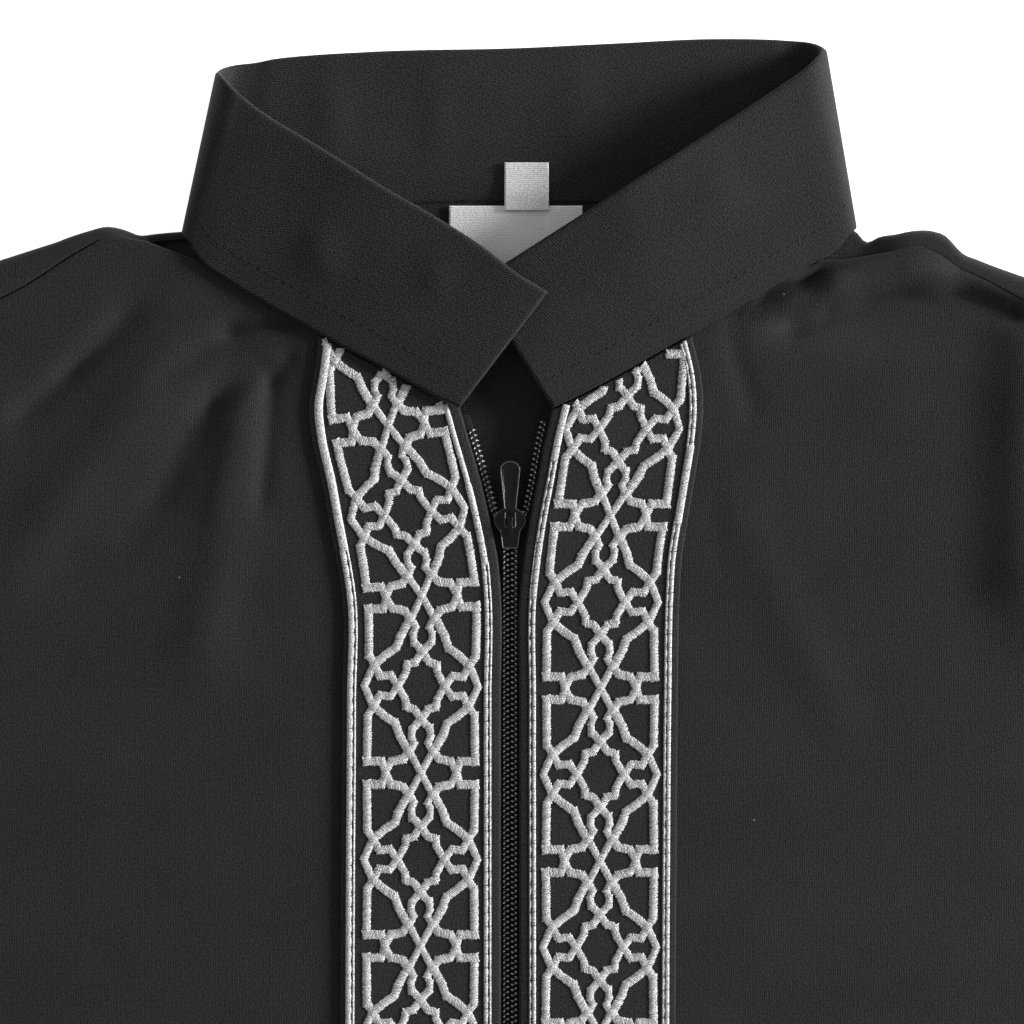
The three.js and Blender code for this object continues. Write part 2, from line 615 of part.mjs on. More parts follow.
function boxAt(x0, x1, y0, y1, z0, z1) {
  const box = new THREE.BoxGeometry(x1 - x0, y1 - y0, z1 - z0);
  box.translate((x0 + x1) / 2, (y0 + y1) / 2 + neckY, (z0 + z1) / 2);
  return box;
}

function makeSlider() {
  const outline = discOutline(slider.head, slider.y, 0.8, slider.bodyHalf, slider.foot);
  const upper = slab(outline, slider.top - slider.plate, slider.top);
  const lower = slab(outline, slider.bottom, slider.bottom + slider.plate);
  const noseY = zip.nose - divider.back;
  const shoulderY = noseY - divider.taper;
  const wedge = slab(
    [
      [0, noseY - divider.length], [divider.half, shoulderY], [divider.nose, noseY],
      [-divider.nose, noseY], [-divider.half, shoulderY],
    ],
    slider.bottom + bail.sunk,
    slider.top - bail.sunk,
  );
  const legs = [-1, 1].map((way) => {
    const near = pivot.y + way * bail.gap;
    const far = pivot.y + way * (bail.gap + bail.leg);
    const [low, high] = [Math.min(near, far), Math.max(near, far)];
    return boxAt(-bail.half, bail.half, low, high, slider.top - bail.sunk, pivot.z + bail.rise);
  });
  const reach = bail.gap + bail.leg;
  const arch = boxAt(
    -bail.half, bail.half, pivot.y - reach, pivot.y + reach, pivot.z + bail.under, pivot.z + bail.rise,
  );
  return joined([upper, lower, wedge, ...legs, arch]);
}

// The pull lies up towards the collar. Its cross bar turns under the slider's bail.
function makePull() {
  const { narrow, wide, half, eye, panel } = pull;
  const roundY = pull.length - pull.shoulder - half;
  const roundSteps = 6;
  const clear = 2;
  const outline = [[-narrow, -half], [narrow, -half], [narrow, pull.neck], [wide, roundY]];
  range(roundSteps - 1).forEach((index) => {
    const turn = (Math.PI * (index + 1)) / roundSteps;
    outline.push([wide * Math.cos(turn), roundY + pull.shoulder * Math.sin(turn)]);
  });
  outline.push([-wide, roundY], [-narrow, pull.neck]);
  const moved = (points) => points.map(([x, y]) => [x, y + pivot.y]);
  const body = slab(moved(outline), pivot.z - half, pivot.z + pull.rim);
  const eyeHole = boxAt(
    -eye.half, eye.half, pivot.y + half, pivot.y + eye.far, pivot.z - clear, pivot.z + clear,
  );
  const lowered = boxAt(
    -wide - 1, wide + 1, pivot.y - 1, pivot.y + pull.step, pivot.z + half, pivot.z + clear,
  );
  const recess = slab(
    moved([
      [-panel.nearHalf, panel.near], [panel.nearHalf, panel.near],
      [panel.farHalf, panel.far], [-panel.farHalf, panel.far],
    ]),
    pivot.z + panel.floor,
    pivot.z + clear,
  );
  return cutAway(body, [eyeHole, lowered, recess]);
}

// ---- Labels ---------------------------------------------------------------------

const label = { left: -18.4, right: 21.9, top: -1.2, bottom: -19.5, wall: 1 };
const sizeTape = { left: -1.7, right: 11.7, top: 11.8, bottom: -2.9 };

function makeLabel() {
  const { left, right, top, bottom, wall } = label;
  const under = cloth + seamGap;
  return slab([[left, bottom], [right, bottom], [right, top], [left, top]], under, under + wall);
}

// A folded loop of tape: it rests on the label's top edge and on the collar above it.
function makeSizeTape() {
  const low = cloth + seamGap + label.wall + seamGap + 0.5;
  const grid = range(5).map((row) => range(3).map((column) => place(
    lerp(sizeTape.left, sizeTape.right, column / 2),
    lerp(sizeTape.bottom, sizeTape.top, row / 4),
    lerp(low, collarWall + seamGap + 0.5, ease((row - 1) / 2)),
  )));
  return levelWall(grid, 1);
}

// ---- The garment ----------------------------------------------------------------

const finishes = {
  cloth: { color: 0x2b2b2d, roughness: 0.85, metalness: 0 },
  collar: { color: 0x303032, roughness: 0.82, metalness: 0 },
  band: { color: 0x6d6d6e, roughness: 0.6, metalness: 0 },
  zip: { color: 0x202022, roughness: 0.55, metalness: 0 },
  slider: { color: 0x161617, roughness: 0.3, metalness: 0.6 },
  label: { color: 0xb5b8ba, roughness: 0.5, metalness: 0 },
  tape: { color: 0xb9babd, roughness: 0.75, metalness: 0 },
};

const garment = new THREE.Group();

function addPiece(name, geometry, finish) {
  const mesh = new THREE.Mesh(geometry, new THREE.MeshStandardMaterial(finishes[finish]));
  mesh.name = name;
  garment.add(mesh);
}

addPiece('back', makeBack(), 'cloth');
[-1, 1].forEach((side) => {
  const name = sideName(side);
  addPiece(`front_${name}`, levelWall(frontGrid(side), cloth), 'cloth');
  addPiece(`sleeve_${name}`, makeSleeve(side), 'cloth');
  addPiece(`band_${name}`, makeBand(side), 'band');
  addPiece(`zip_${name}`, makeZipHalf(side), 'zip');
});
addPiece('collar', makeCollar(), 'collar');
addPiece('zip_slider', makeSlider(), 'slider');
addPiece('zip_pull', makePull(), 'slider');
addPiece('neck_label', makeLabel(), 'label');
addPiece('size_tape', makeSizeTape(), 'tape');

export default garment;
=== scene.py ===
import math

import bmesh
import bpy
import numpy as np
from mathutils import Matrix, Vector


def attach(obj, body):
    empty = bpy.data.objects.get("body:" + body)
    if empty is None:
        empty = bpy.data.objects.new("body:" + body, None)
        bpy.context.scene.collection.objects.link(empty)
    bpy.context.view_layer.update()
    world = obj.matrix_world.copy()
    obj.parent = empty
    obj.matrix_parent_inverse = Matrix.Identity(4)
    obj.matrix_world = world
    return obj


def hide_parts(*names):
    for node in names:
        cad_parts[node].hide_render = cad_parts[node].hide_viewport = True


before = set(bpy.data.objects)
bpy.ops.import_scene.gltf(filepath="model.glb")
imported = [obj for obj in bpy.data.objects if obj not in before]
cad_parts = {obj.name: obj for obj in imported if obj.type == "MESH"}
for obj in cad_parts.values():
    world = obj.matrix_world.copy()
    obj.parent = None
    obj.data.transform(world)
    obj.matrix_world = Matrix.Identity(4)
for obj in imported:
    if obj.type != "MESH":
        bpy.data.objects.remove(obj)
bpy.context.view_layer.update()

# Millimetres. Heights along the body run from the back neck seam, down is negative. Left is -X.
garment = {"length": 1431, "collarTop": 49.3, "cloth": 1.2, "seamGap": 0.3, "roll": 3.1, "bandEnd": -525}
neckY = (garment["length"] - garment["collarTop"]) / 2
cloth = garment["cloth"]
seamGap = garment["seamGap"]
bandEnd = garment["bandEnd"]
seamHeight = 2 * garment["roll"] - cloth / 2
shoulderTip = {"x": 235, "y": -47}
underarm = {"x": 290, "y": -295}
hemSide = {"x": 400, "y": -1415}
made = {}


def ease(value):
    value = np.clip(value, 0, 1)
    return value * value * (3 - 2 * value)


def lerp(start, end, share):
    return start + (end - start) * share


def column(rows, name):
    return np.array([row[name] for row in rows], float)


def smoothRead(keys, values, at):  # a smooth curve through rising keys
    keys = np.asarray(keys, float)
    values = np.asarray(values, float)
    at = np.clip(np.asarray(at, float), keys[0], keys[-1])
    if values.ndim == 1:
        slopes = np.gradient(values, keys)
    else:
        slopes = np.gradient(values, keys, axis=0)
    spot = np.clip(np.searchsorted(keys, at) - 1, 0, len(keys) - 2)
    gap = keys[spot + 1] - keys[spot]
    share = (at - keys[spot]) / gap
    if values.ndim > 1:
        gap = gap[..., None]
        share = share[..., None]
    square = share * share
    cube = square * share
    startPart = (2 * cube - 3 * square + 1) * values[spot] + (cube - 2 * square + share) * gap * slopes[spot]
    endPart = (3 * square - 2 * cube) * values[spot + 1] + (cube - square) * gap * slopes[spot + 1]
    return startPart + endPart


def unit(vectors):
    return vectors / np.maximum(np.linalg.norm(vectors, axis=-1, keepdims=True), 1e-9)


def toWorld(points):
    points = np.asarray(points, float)
    return (points + np.array([0, neckY, 0])) * 0.001


# The silhouette of each shoulder, and how far the back reaches over to the shoulder seam.
# Beside the neck the left front hangs away from the shoulder by its slack.
neckPoint = 98.8
leftSlack = {"fromX": 92, "fromY": -18.7, "toX": 113, "toY": -10.6}
shoulderRows = [
    {"x": 86, "leftFold": -8.6, "leftFlap": 1.2, "rightFold": -8.2, "rightFlap": 9.9},
    {"x": 98.8, "leftFold": -9, "leftFlap": 1.2, "rightFold": -7.6, "rightFlap": 10.5},
    {"x": 103.8, "leftFold": -9.4, "leftFlap": 1.2, "rightFold": -8.6, "rightFlap": 8.8},
    {"x": 106.8, "leftFold": -9.7, "leftFlap": 1.2, "rightFold": -12, "rightFlap": 4.9},
    {"x": 112, "leftFold": -10.2, "leftFlap": 1.2, "rightFold": -10.5, "rightFlap": 5.4},
    {"x": 116, "leftFold": -8.7, "leftFlap": 1.8, "rightFold": -10, "rightFlap": 4.9},
    {"x": 121, "leftFold": -7.7, "leftFlap": 2.9, "rightFold": -9, "rightFlap": 4.4},
    {"x": 127.5, "leftFold": -9.2, "leftFlap": 4.7, "rightFold": -9.1, "rightFlap": 6.5},
    {"x": 131, "leftFold": -10.3, "leftFlap": 5.6, "rightFold": -10.5, "rightFlap": 7.3},
    {"x": 134, "leftFold": -11.4, "leftFlap": 6.4, "rightFold": -13.8, "rightFlap": 6.1},
    {"x": 136, "leftFold": -12.2, "leftFlap": 7, "rightFold": -15.7, "rightFlap": 5.2},
    {"x": 140, "leftFold": -13.5, "leftFlap": 8.4, "rightFold": -17.4, "rightFlap": 5.1},
    {"x": 154, "leftFold": -18, "leftFlap": 11.7, "rightFold": -22.6, "rightFlap": 7},
    {"x": 180, "leftFold": -26.5, "leftFlap": 12, "rightFold": -30, "rightFlap": 9},
    {"x": 208, "leftFold": -36.5, "leftFlap": 12, "rightFold": -38, "rightFlap": 11},
    {"x": 235, "leftFold": -47, "leftFlap": 12, "rightFold": -47, "rightFlap": 12},
]

# The collar strip: top edge (tx, ty), seam edge (bx, by), lift of a tip, rise of the top edge.
collarLeft = [
    {"tx": 11.3, "ty": -28.4, "bx": -15, "by": -62.4, "lift": 1.5, "rise": 6},
    {"tx": 3, "ty": -23.4, "bx": -23.4, "by": -58.5, "lift": 1.5, "rise": 6.5},
    {"tx": -8.6, "ty": -14.6, "bx": -36, "by": -51.6, "lift": 1.4, "rise": 7},
    {"tx": -22.7, "ty": -5.8, "bx": -47, "by": -45.8, "lift": 1, "rise": 8},
    {"tx": -35.5, "ty": 1.5, "bx": -56.7, "by": -40.5, "lift": 0.5, "rise": 9},
    {"tx": -55.9, "ty": 14.2, "bx": -72, "by": -31.8, "lift": 0.1, "rise": 9},
    {"tx": -73.1, "ty": 24.7, "bx": -84.3, "by": -24.3, "lift": 0, "rise": 9},
    {"tx": -79.4, "ty": 29.6, "bx": -92.3, "by": -18.5, "lift": 0, "rise": 9},
]
collarLeftFold = {"tx": -87.9, "ty": 37.8, "bx": -98.9, "by": -10.4, "rise": 9, "nose": 1.6}
collarBack = [
    {"tx": -71, "ty": 43.3, "bx": -80, "by": -6.2},
    {"tx": -43.2, "ty": 45.4, "bx": -48, "by": -2},
    {"tx": 3, "ty": 46.6, "bx": 0, "by": 0},
    {"tx": 32.2, "ty": 48, "bx": 34, "by": -0.8},
    {"tx": 60.4, "ty": 49.3, "bx": 66, "by": -3.4},
    {"tx": 79, "ty": 49.1, "bx": 88, "by": -6.2},
]
collarRightFold = {"tx": 94.6, "ty": 44.6, "bx": 104.4, "by": -8.7, "rise": 9, "nose": 1.9}
collarRight = [
    {"tx": 85.8, "ty": 36.4, "bx": 98, "by": -15, "lift": 0, "rise": 9},
    {"tx": 80.8, "ty": 33, "bx": 92, "by": -18.4, "lift": 0, "rise": 9},
    {"tx": 67, "ty": 23.9, "bx": 78, "by": -26.4, "lift": 0, "rise": 9},
    {"tx": 51.3, "ty": 13.8, "bx": 62.1, "by": -36, "lift": 0, "rise": 9},
    {"tx": 33.5, "ty": 2.4, "bx": 48.3, "by": -43.5, "lift": 0, "rise": 8.5},
    {"tx": 21.4, "ty": -5.2, "bx": 38, "by": -49.4, "lift": 0, "rise": 7},
    {"tx": 3.3, "ty": -16.5, "bx": 24, "by": -57, "lift": 0, "rise": 4.5},
    {"tx": -10.7, "ty": -25.3, "bx": 12.9, "by": -62.4, "lift": 0, "rise": 2.5},
]

braidRows = [
    {"y": -30, "leftOuter": 54, "leftInner": 27, "rightInner": 25, "rightOuter": 49},
    {"y": -42, "leftOuter": 54.6, "leftInner": 24.5, "rightInner": 22.5, "rightOuter": 51.8},
    {"y": -52, "leftOuter": 55.8, "leftInner": 22, "rightInner": 19.5, "rightOuter": 54.2},
    {"y": -62, "leftOuter": 57.4, "leftInner": 19.2, "rightInner": 16.8, "rightOuter": 55},
    {"y": -72, "leftOuter": 56.4, "leftInner": 16.4, "rightInner": 14.4, "rightOuter": 54.3},
    {"y": -84, "leftOuter": 53.7, "leftInner": 12.9, "rightInner": 12.2, "rightOuter": 52.4},
    {"y": -96, "leftOuter": 51.5, "leftInner": 10, "rightInner": 9.9, "rightOuter": 50.4},
    {"y": -108, "leftOuter": 49.2, "leftInner": 7.7, "rightInner": 8.1, "rightOuter": 48.6},
    {"y": -118, "leftOuter": 47.6, "leftInner": 6.8, "rightInner": 7, "rightOuter": 48},
    {"y": -150, "leftOuter": 47.5, "leftInner": 6.8, "rightInner": 6.8, "rightOuter": 47.4},
    {"y": -200, "leftOuter": 47.8, "leftInner": 6.8, "rightInner": 6.8, "rightOuter": 47},
    {"y": -525, "leftOuter": 47.8, "leftInner": 6.8, "rightInner": 6.8, "rightOuter": 47},
]

# Ridges and troughs in the two fronts, from one point to another: x0, y0, x1, y1, height, width.
frontFolds = [
    (-106, -52, -150, -112, 1.4, 9),
    (-114, -34, -143, -64, -0.8, 6),
    (-82, -50, -112, -98, -0.8, 6),
    (-80, -74, -92, -128, 1.3, 9),
    (-67, -48, -74, -82, -0.5, 5),
    (76, -28, 124, -17, 2.6, 6),
    (86, -37, 152, -34, -2.2, 5),
    (156, -40, 154, -110, 3.2, 11),
    (-185, -120, -250, -250, 4, 16),
    (180, -130, 248, -262, 4.4, 16),
    (-105, -330, -150, -1400, 5, 20),
    (-215, -420, -270, -1410, 4.4, 22),
    (112, -360, 140, -1405, 4.6, 20),
    (205, -400, 290, -1405, 5, 24),
    (-60, -700, -50, -1420, 3, 18),
    (58, -640, 66, -1420, 3.2, 18),
]
fineFolds = [
    (-115.7, -35.8, -131.6, -51.1, -1, 3),
    (-131.6, -51.1, -146.3, -63.9, -0.9, 3),
    (-64, -36.5, -83.7, -39.6, -1.6, 2.4),
    (-83.7, -39.6, -103, -52.4, -1, 3),
    (-66, -48, -71.6, -54.3, -1, 2.4),
    (-71.6, -54.3, -74.8, -89.5, -0.75, 2.8),
    (-75, -50.5, -90, -61.3, -0.8, 2.8),
    (-90, -61.3, -105.4, -89.5, -0.8, 3.4),
    (-80, -58, -88, -92, 0.5, 4),
    (66, -42, 72, -60, -0.5, 3.5),
    (66, -34.6, 75, -33.6, -0.7, 1.2),
    (106, -16, 90, -22.8, -2.4, 2.6),
    (90, -22.8, 77, -28, -1.7, 2.3),
    (84, -30.5, 98, -25, 1.2, 3),
    (98, -25, 128, -21, 1.5, 3.4),
    (70, -37.8, 86, -37.6, -0.6, 1.5),
    (86, -37.6, 97, -34, -1.3, 2.3),
    (97, -34, 108, -31, -2, 2.5),
    (108, -31, 118, -29.7, -2.7, 2.8),
    (118, -29.7, 137, -30.5, -2.9, 3.2),
    (137, -30.5, 152, -34, -2.6, 4),
    (112, -37, 150, -40, -1.6, 8),
    (70, -96, 96, -150, 0.5, 8),
]


def sideNamed(side):
    return "left" if side < 0 else "right"


def foldY(x, side):
    return smoothRead(column(shoulderRows, "x"), column(shoulderRows, sideNamed(side) + "Fold"), x)


def shoulderSeamY(x, side):
    flap = smoothRead(column(shoulderRows, "x"), column(shoulderRows, sideNamed(side) + "Flap"), x)
    return foldY(x, side) - flap


def rollRadius(x):  # the roll of the back lies flatter beside the neck
    return lerp(1.6, garment["roll"], ease((x - 104) / 16))


def sideX(y):
    share = np.clip((shoulderTip["y"] - y) / (shoulderTip["y"] - underarm["y"]), 0, 1)
    armhole = lerp(shoulderTip["x"], underarm["x"], share ** 2)
    below = (underarm["y"] - y) / (underarm["y"] - hemSide["y"])
    return np.where(y > underarm["y"], armhole, lerp(underarm["x"], hemSide["x"], below))


def hemY(x):
    return lerp(-garment["length"], hemSide["y"], (np.asarray(x) / hemSide["x"]) ** 2)


def collarSeamY(x, side):
    rows = (collarLeft + [collarLeftFold]) if side < 0 else (collarRight + [collarRightFold])
    rows = sorted(rows, key=lambda row: abs(row["bx"]))
    return np.interp(x, np.abs(column(rows, "bx")), column(rows, "by"))


def frontTopY(x, side):
    x = np.asarray(x, float)
    tuck = lerp(3, -0.6, ease((x - 78) / 14))
    neck = np.minimum(collarSeamY(x, side) + tuck, shoulderSeamY(neckPoint, side) - seamGap)
    top = np.where(x > neckPoint, shoulderSeamY(x, side) - seamGap, neck)
    if side > 0:
        return top
    slack = np.interp(x, [leftSlack["fromX"], leftSlack["toX"]], [leftSlack["fromY"], leftSlack["toY"]], right=0)
    return np.minimum(top, np.where(x < leftSlack["fromX"], 0, slack))


def braidX(name, y):
    keys = column(braidRows, "y")[::-1]
    return smoothRead(keys, column(braidRows, name)[::-1], y)


zipSizes = {"top": -64.5, "end": -505, "slot": 2.7, "tape": 14, "nose": -92, "foot": -103, "braidToFold": 4.1}


def foldedEdgeX(y, side):
    opened = braidX(sideNamed(side) + "Inner", y) - zipSizes["braidToFold"]
    return lerp(opened, seamGap / 2, ease((zipSizes["end"] - 4 - y) / 14))


def foldBump(fold, x, y):
    x0, y0, x1, y1, height, width = fold
    dx = x1 - x0
    dy = y1 - y0
    length = math.hypot(dx, dy)
    along = ((x - x0) * dx + (y - y0) * dy) / length
    across = ((x - x0) * dy - (y - y0) * dx) / length
    past = np.maximum(np.maximum(-along, along - length), 0) / (width * 1.5)
    return height * np.exp(-((across / width) ** 2) - past ** 2)


lie = {
    "centre": 5.1, "centreBelow": 3, "belowFade": 110, "underarm": 3.2, "side": 2.1, "sideFade": 100,
    "plateau": 20, "topReach": 34, "foldsFrom": 52, "foldsFull": 78, "foldsDown": 12, "foldsEdge": 0.14,
}


def frontHeight(x, y):  # middle surface of the fronts above the floor
    x = np.asarray(x, float)
    y = np.asarray(y, float)
    reach = np.abs(x)
    centre = lerp(lie["centre"], lie["centreBelow"], ease((bandEnd - y) / lie["belowFade"]))
    upArmhole = np.clip((y - underarm["y"]) / (shoulderTip["y"] - underarm["y"]), 0, 1)
    armhole = lerp(lie["underarm"], seamHeight, upArmhole)
    sideSeam = lerp(lie["underarm"], lie["side"], ease((underarm["y"] - y) / lie["sideFade"]))
    edge = np.where(y > underarm["y"], armhole, sideSeam)
    out = np.clip((reach - lie["plateau"]) / (sideX(y) - lie["plateau"]), 0, 1)
    plain = lerp(centre, edge, ease(out))
    held = np.minimum(reach, shoulderTip["x"])
    topEdge = np.where(x < 0, frontTopY(held, -1), frontTopY(held, 1))
    below = np.maximum(topEdge - y, 0)
    top = np.exp(-((below / lie["topReach"]) ** 2))
    inner = ease((reach - lie["foldsFrom"]) / (lie["foldsFull"] - lie["foldsFrom"]))
    outer = ease((1 - out) / lie["foldsEdge"])
    free = np.minimum(1, below / lie["foldsDown"]) * inner * outer
    folds = sum(foldBump(fold, x, y) for fold in frontFolds)
    fine = sum(foldBump(fold, x, y) for fold in fineFolds) * outer * np.minimum(1, below / 3)
    fine = fine * ease((reach - 59) / 8)
    return np.maximum(lerp(plain, seamHeight, top) + folds * free + fine, lie["side"])


# Nodes are added with their values or links by input name; i0, i1 name an input by its place.
def addNode(tree, kind, settings=None, **inputs):
    node = tree.nodes.new(kind)
    for key, value in (settings or {}).items():
        setattr(node, key, value)
    for key, value in inputs.items():
        name = key.replace("_", " ")
        socket = node.inputs[int(key[1:])] if key[0] == "i" and key[1:].isdigit() else node.inputs[name]
        if isinstance(value, bpy.types.NodeSocket):
            tree.links.new(value, socket)
        else:
            socket.default_value = value
    return node


def calc(tree, operation, *values):
    node = addNode(tree, "ShaderNodeMath", {"operation": operation})
    for socket, value in zip(node.inputs, values):
        if isinstance(value, bpy.types.NodeSocket):
            tree.links.new(value, socket)
        else:
            socket.default_value = value
    return node.outputs[0]


def newGroup(name, kind, inputs, outputs):
    tree = bpy.data.node_groups.new(name, kind)
    for label, socketType, value in inputs:
        socket = tree.interface.new_socket(name=label, in_out="INPUT", socket_type=socketType)
        if value is not None:
            socket.default_value = value
    for label, socketType in outputs:
        tree.interface.new_socket(name=label, in_out="OUTPUT", socket_type=socketType)
    start = tree.nodes.new("NodeGroupInput")
    end = tree.nodes.new("NodeGroupOutput")
    return tree, start, end


# Crossing threads: fine ribs one way, weaker ones the other way, both a little uneven.
def makeWeaveGroup():
    tree, start, end = newGroup("weave relief", "ShaderNodeTree", [
        ("Vector", "NodeSocketVector", None),
        ("Pitch", "NodeSocketFloat", 0.0006),
        ("Turn", "NodeSocketFloat", 0.0),
        ("Cross", "NodeSocketFloat", 0.6),
        ("Uneven", "NodeSocketFloat", 1.3),
        ("Fibre", "NodeSocketFloat", 2.2),
    ], [("Height", "NodeSocketFloat"), ("Tone", "NodeSocketFloat")])
    vector = start.outputs["Vector"]
    drift = addNode(tree, "ShaderNodeTexNoise", {"noise_dimensions": "3D"}, Vector=vector, Scale=420.0, Detail=2.0)
    sway = calc(tree, "MULTIPLY", calc(tree, "SUBTRACT", drift.outputs[0], 0.5), start.outputs["Uneven"])
    turned = addNode(tree, "ShaderNodeVectorRotate", {"rotation_type": "Z_AXIS"}, Vector=vector,
                     Angle=start.outputs["Turn"])
    parts = addNode(tree, "ShaderNodeSeparateXYZ", Vector=turned.outputs[0])
    waves = []
    for axis in (0, 1):
        steps = calc(tree, "DIVIDE", parts.outputs[axis], start.outputs["Pitch"])
        shifted = calc(tree, "ADD", steps, sway)
        waves.append(calc(tree, "SINE", calc(tree, "MULTIPLY", shifted, 2 * math.pi)))
    crossed = calc(tree, "MULTIPLY", waves[1], start.outputs["Cross"])
    total = calc(tree, "ADD", waves[0], crossed)
    fibre = addNode(tree, "ShaderNodeTexNoise", {"noise_dimensions": "3D"}, Vector=vector, Scale=1500.0, Detail=3.0)
    stray = calc(tree, "MULTIPLY", calc(tree, "SUBTRACT", fibre.outputs[0], 0.5), start.outputs["Fibre"])
    mixed = calc(tree, "ADD", calc(tree, "MULTIPLY", total, 0.22), calc(tree, "ADD", stray, 0.5))
    tree.links.new(mixed, end.inputs["Height"])
    tone = addNode(tree, "ShaderNodeMapRange", Value=mixed)
    tone.inputs["From Min"].default_value = 0.1
    tone.inputs["From Max"].default_value = 0.9
    tone.inputs["To Min"].default_value = 0.0
    tone.inputs["To Max"].default_value = 1.0
    tree.links.new(tone.outputs[0], end.inputs["Tone"])
    return tree


# Broad soft patches of tone, and a few pale specks of lint.
def makeWearGroup():
    tree, start, end = newGroup("cloth wear", "ShaderNodeTree", [
        ("Vector", "NodeSocketVector", None),
        ("Patch", "NodeSocketFloat", 40.0),
        ("Lint", "NodeSocketFloat", 1.0),
    ], [("Patches", "NodeSocketFloat"), ("Specks", "NodeSocketFloat")])
    patches = addNode(tree, "ShaderNodeTexNoise", {"noise_dimensions": "3D"}, Vector=start.outputs["Vector"],
                      Scale=start.outputs["Patch"], Detail=3.0)
    tree.links.new(patches.outputs[0], end.inputs["Patches"])
    cells = addNode(tree, "ShaderNodeTexVoronoi", {"feature": "F1"}, Vector=start.outputs["Vector"], Scale=110.0)
    chosen = addNode(tree, "ShaderNodeSeparateXYZ", Vector=cells.outputs["Color"])
    near = calc(tree, "LESS_THAN", cells.outputs["Distance"], 0.035)
    rare = calc(tree, "LESS_THAN", chosen.outputs[0], 0.14)
    specks = calc(tree, "MULTIPLY", calc(tree, "MULTIPLY", near, rare), start.outputs["Lint"])
    tree.links.new(specks, end.inputs["Specks"])
    return tree


weaveGroup = makeWeaveGroup()
wearGroup = makeWearGroup()


def newMaterial(name, roughness, specular, sheen=0.0, sheenRough=0.5, metallic=0.0, coat=0.0):
    material = bpy.data.materials.new(name)
    material.use_nodes = True
    shader = material.node_tree.nodes["Principled BSDF"]
    shader.inputs["Roughness"].default_value = roughness
    shader.inputs["Specular IOR Level"].default_value = specular
    shader.inputs["Sheen Weight"].default_value = sheen
    shader.inputs["Sheen Roughness"].default_value = sheenRough
    shader.inputs["Metallic"].default_value = metallic
    shader.inputs["Coat Weight"].default_value = coat
    return material, material.node_tree, shader


def mixColours(tree, share, dark, light):
    mix = addNode(tree, "ShaderNodeMix", {"data_type": "RGBA"})
    for socket, value in ((mix.inputs[0], share), (mix.inputs[6], dark), (mix.inputs[7], light)):
        if isinstance(value, bpy.types.NodeSocket):
            tree.links.new(value, socket)
        else:
            socket.default_value = value
    return mix.outputs[2]


def grey(level, blue=0.0):
    return (level, level, level * (1 + blue), 1)


clothLooks = {
    "cloth": {"dark": 0.007, "light": 0.027, "pitch": 0.00052, "turn": 0.0, "cross": 0.7, "bump": 0.45,
              "uneven": 1.5, "fibre": 1.9},
    "collar": {"dark": 0.005, "light": 0.033, "pitch": 0.0007, "turn": math.radians(107), "cross": 0.4,
               "bump": 0.65, "uneven": 0.8, "fibre": 1.7},
    "band": {"dark": 0.008, "light": 0.032, "pitch": 0.0005, "turn": math.radians(90), "cross": 0.35,
             "bump": 0.6, "uneven": 1.2, "fibre": 1.9},
    "zip": {"dark": 0.006, "light": 0.02, "pitch": 0.0007, "turn": math.radians(45), "cross": 0.9, "bump": 0.3,
            "uneven": 0.8, "fibre": 1.4},
}


def makeClothMaterial(name, looks, lint=1.0):
    material, tree, shader = newMaterial(name, 0.82, 0.22, sheen=0.06, sheenRough=0.45)
    uv = addNode(tree, "ShaderNodeTexCoord").outputs["UV"]
    weave = addNode(tree, "ShaderNodeGroup", {"node_tree": weaveGroup}, Vector=uv, Pitch=looks["pitch"],
                    Turn=looks["turn"], Cross=looks["cross"], Uneven=looks["uneven"], Fibre=looks["fibre"])
    wear = addNode(tree, "ShaderNodeGroup", {"node_tree": wearGroup}, Vector=uv, Lint=lint)
    patchy = calc(tree, "MULTIPLY", calc(tree, "SUBTRACT", wear.outputs["Patches"], 0.5), 0.5)
    share = calc(tree, "ADD", weave.outputs["Tone"], patchy)
    colour = mixColours(tree, share, grey(looks["dark"], 0.08), grey(looks["light"], 0.08))
    specked = mixColours(tree, wear.outputs["Specks"], colour, grey(0.2))
    # painted shade: where the 'shade' attribute is set, the colour is mixed toward near black
    paintedShade = addNode(tree, "ShaderNodeAttribute", {"attribute_name": "shade"})
    shaded = mixColours(tree, paintedShade.outputs["Fac"], specked, grey(0.001))
    tree.links.new(shaded, shader.inputs["Base Color"])
    bump = addNode(tree, "ShaderNodeBump", Strength=looks["bump"], Distance=0.0002, Height=weave.outputs["Height"])
    tree.links.new(bump.outputs[0], shader.inputs["Normal"])
    return material


# Satin thread: each stitch has its own shade, and a fine streak along it.
def makeThreadMaterial(name, dark, light, roughness, streak):
    material, tree, shader = newMaterial(name, roughness, 0.4, sheen=0.1, sheenRough=0.3)
    shade = addNode(tree, "ShaderNodeAttribute", {"attribute_name": "shade"})
    where = addNode(tree, "ShaderNodeTexCoord").outputs["Object"]
    fine = addNode(tree, "ShaderNodeTexNoise", {"noise_dimensions": "3D"}, Vector=where, Scale=streak, Detail=2.0)
    speck = addNode(tree, "ShaderNodeMapRange", Value=fine.outputs[0])
    speck.inputs["From Min"].default_value = 0.38
    speck.inputs["From Max"].default_value = 0.6
    half = calc(tree, "MULTIPLY", shade.outputs["Fac"], 0.3)
    share = calc(tree, "ADD", half, calc(tree, "MULTIPLY", speck.outputs[0], 0.75))
    colour = mixColours(tree, share, grey(dark), grey(light))
    tree.links.new(colour, shader.inputs["Base Color"])
    bump = addNode(tree, "ShaderNodeBump", Strength=0.5, Distance=0.0002, Height=fine.outputs[0])
    tree.links.new(bump.outputs[0], shader.inputs["Normal"])
    return material


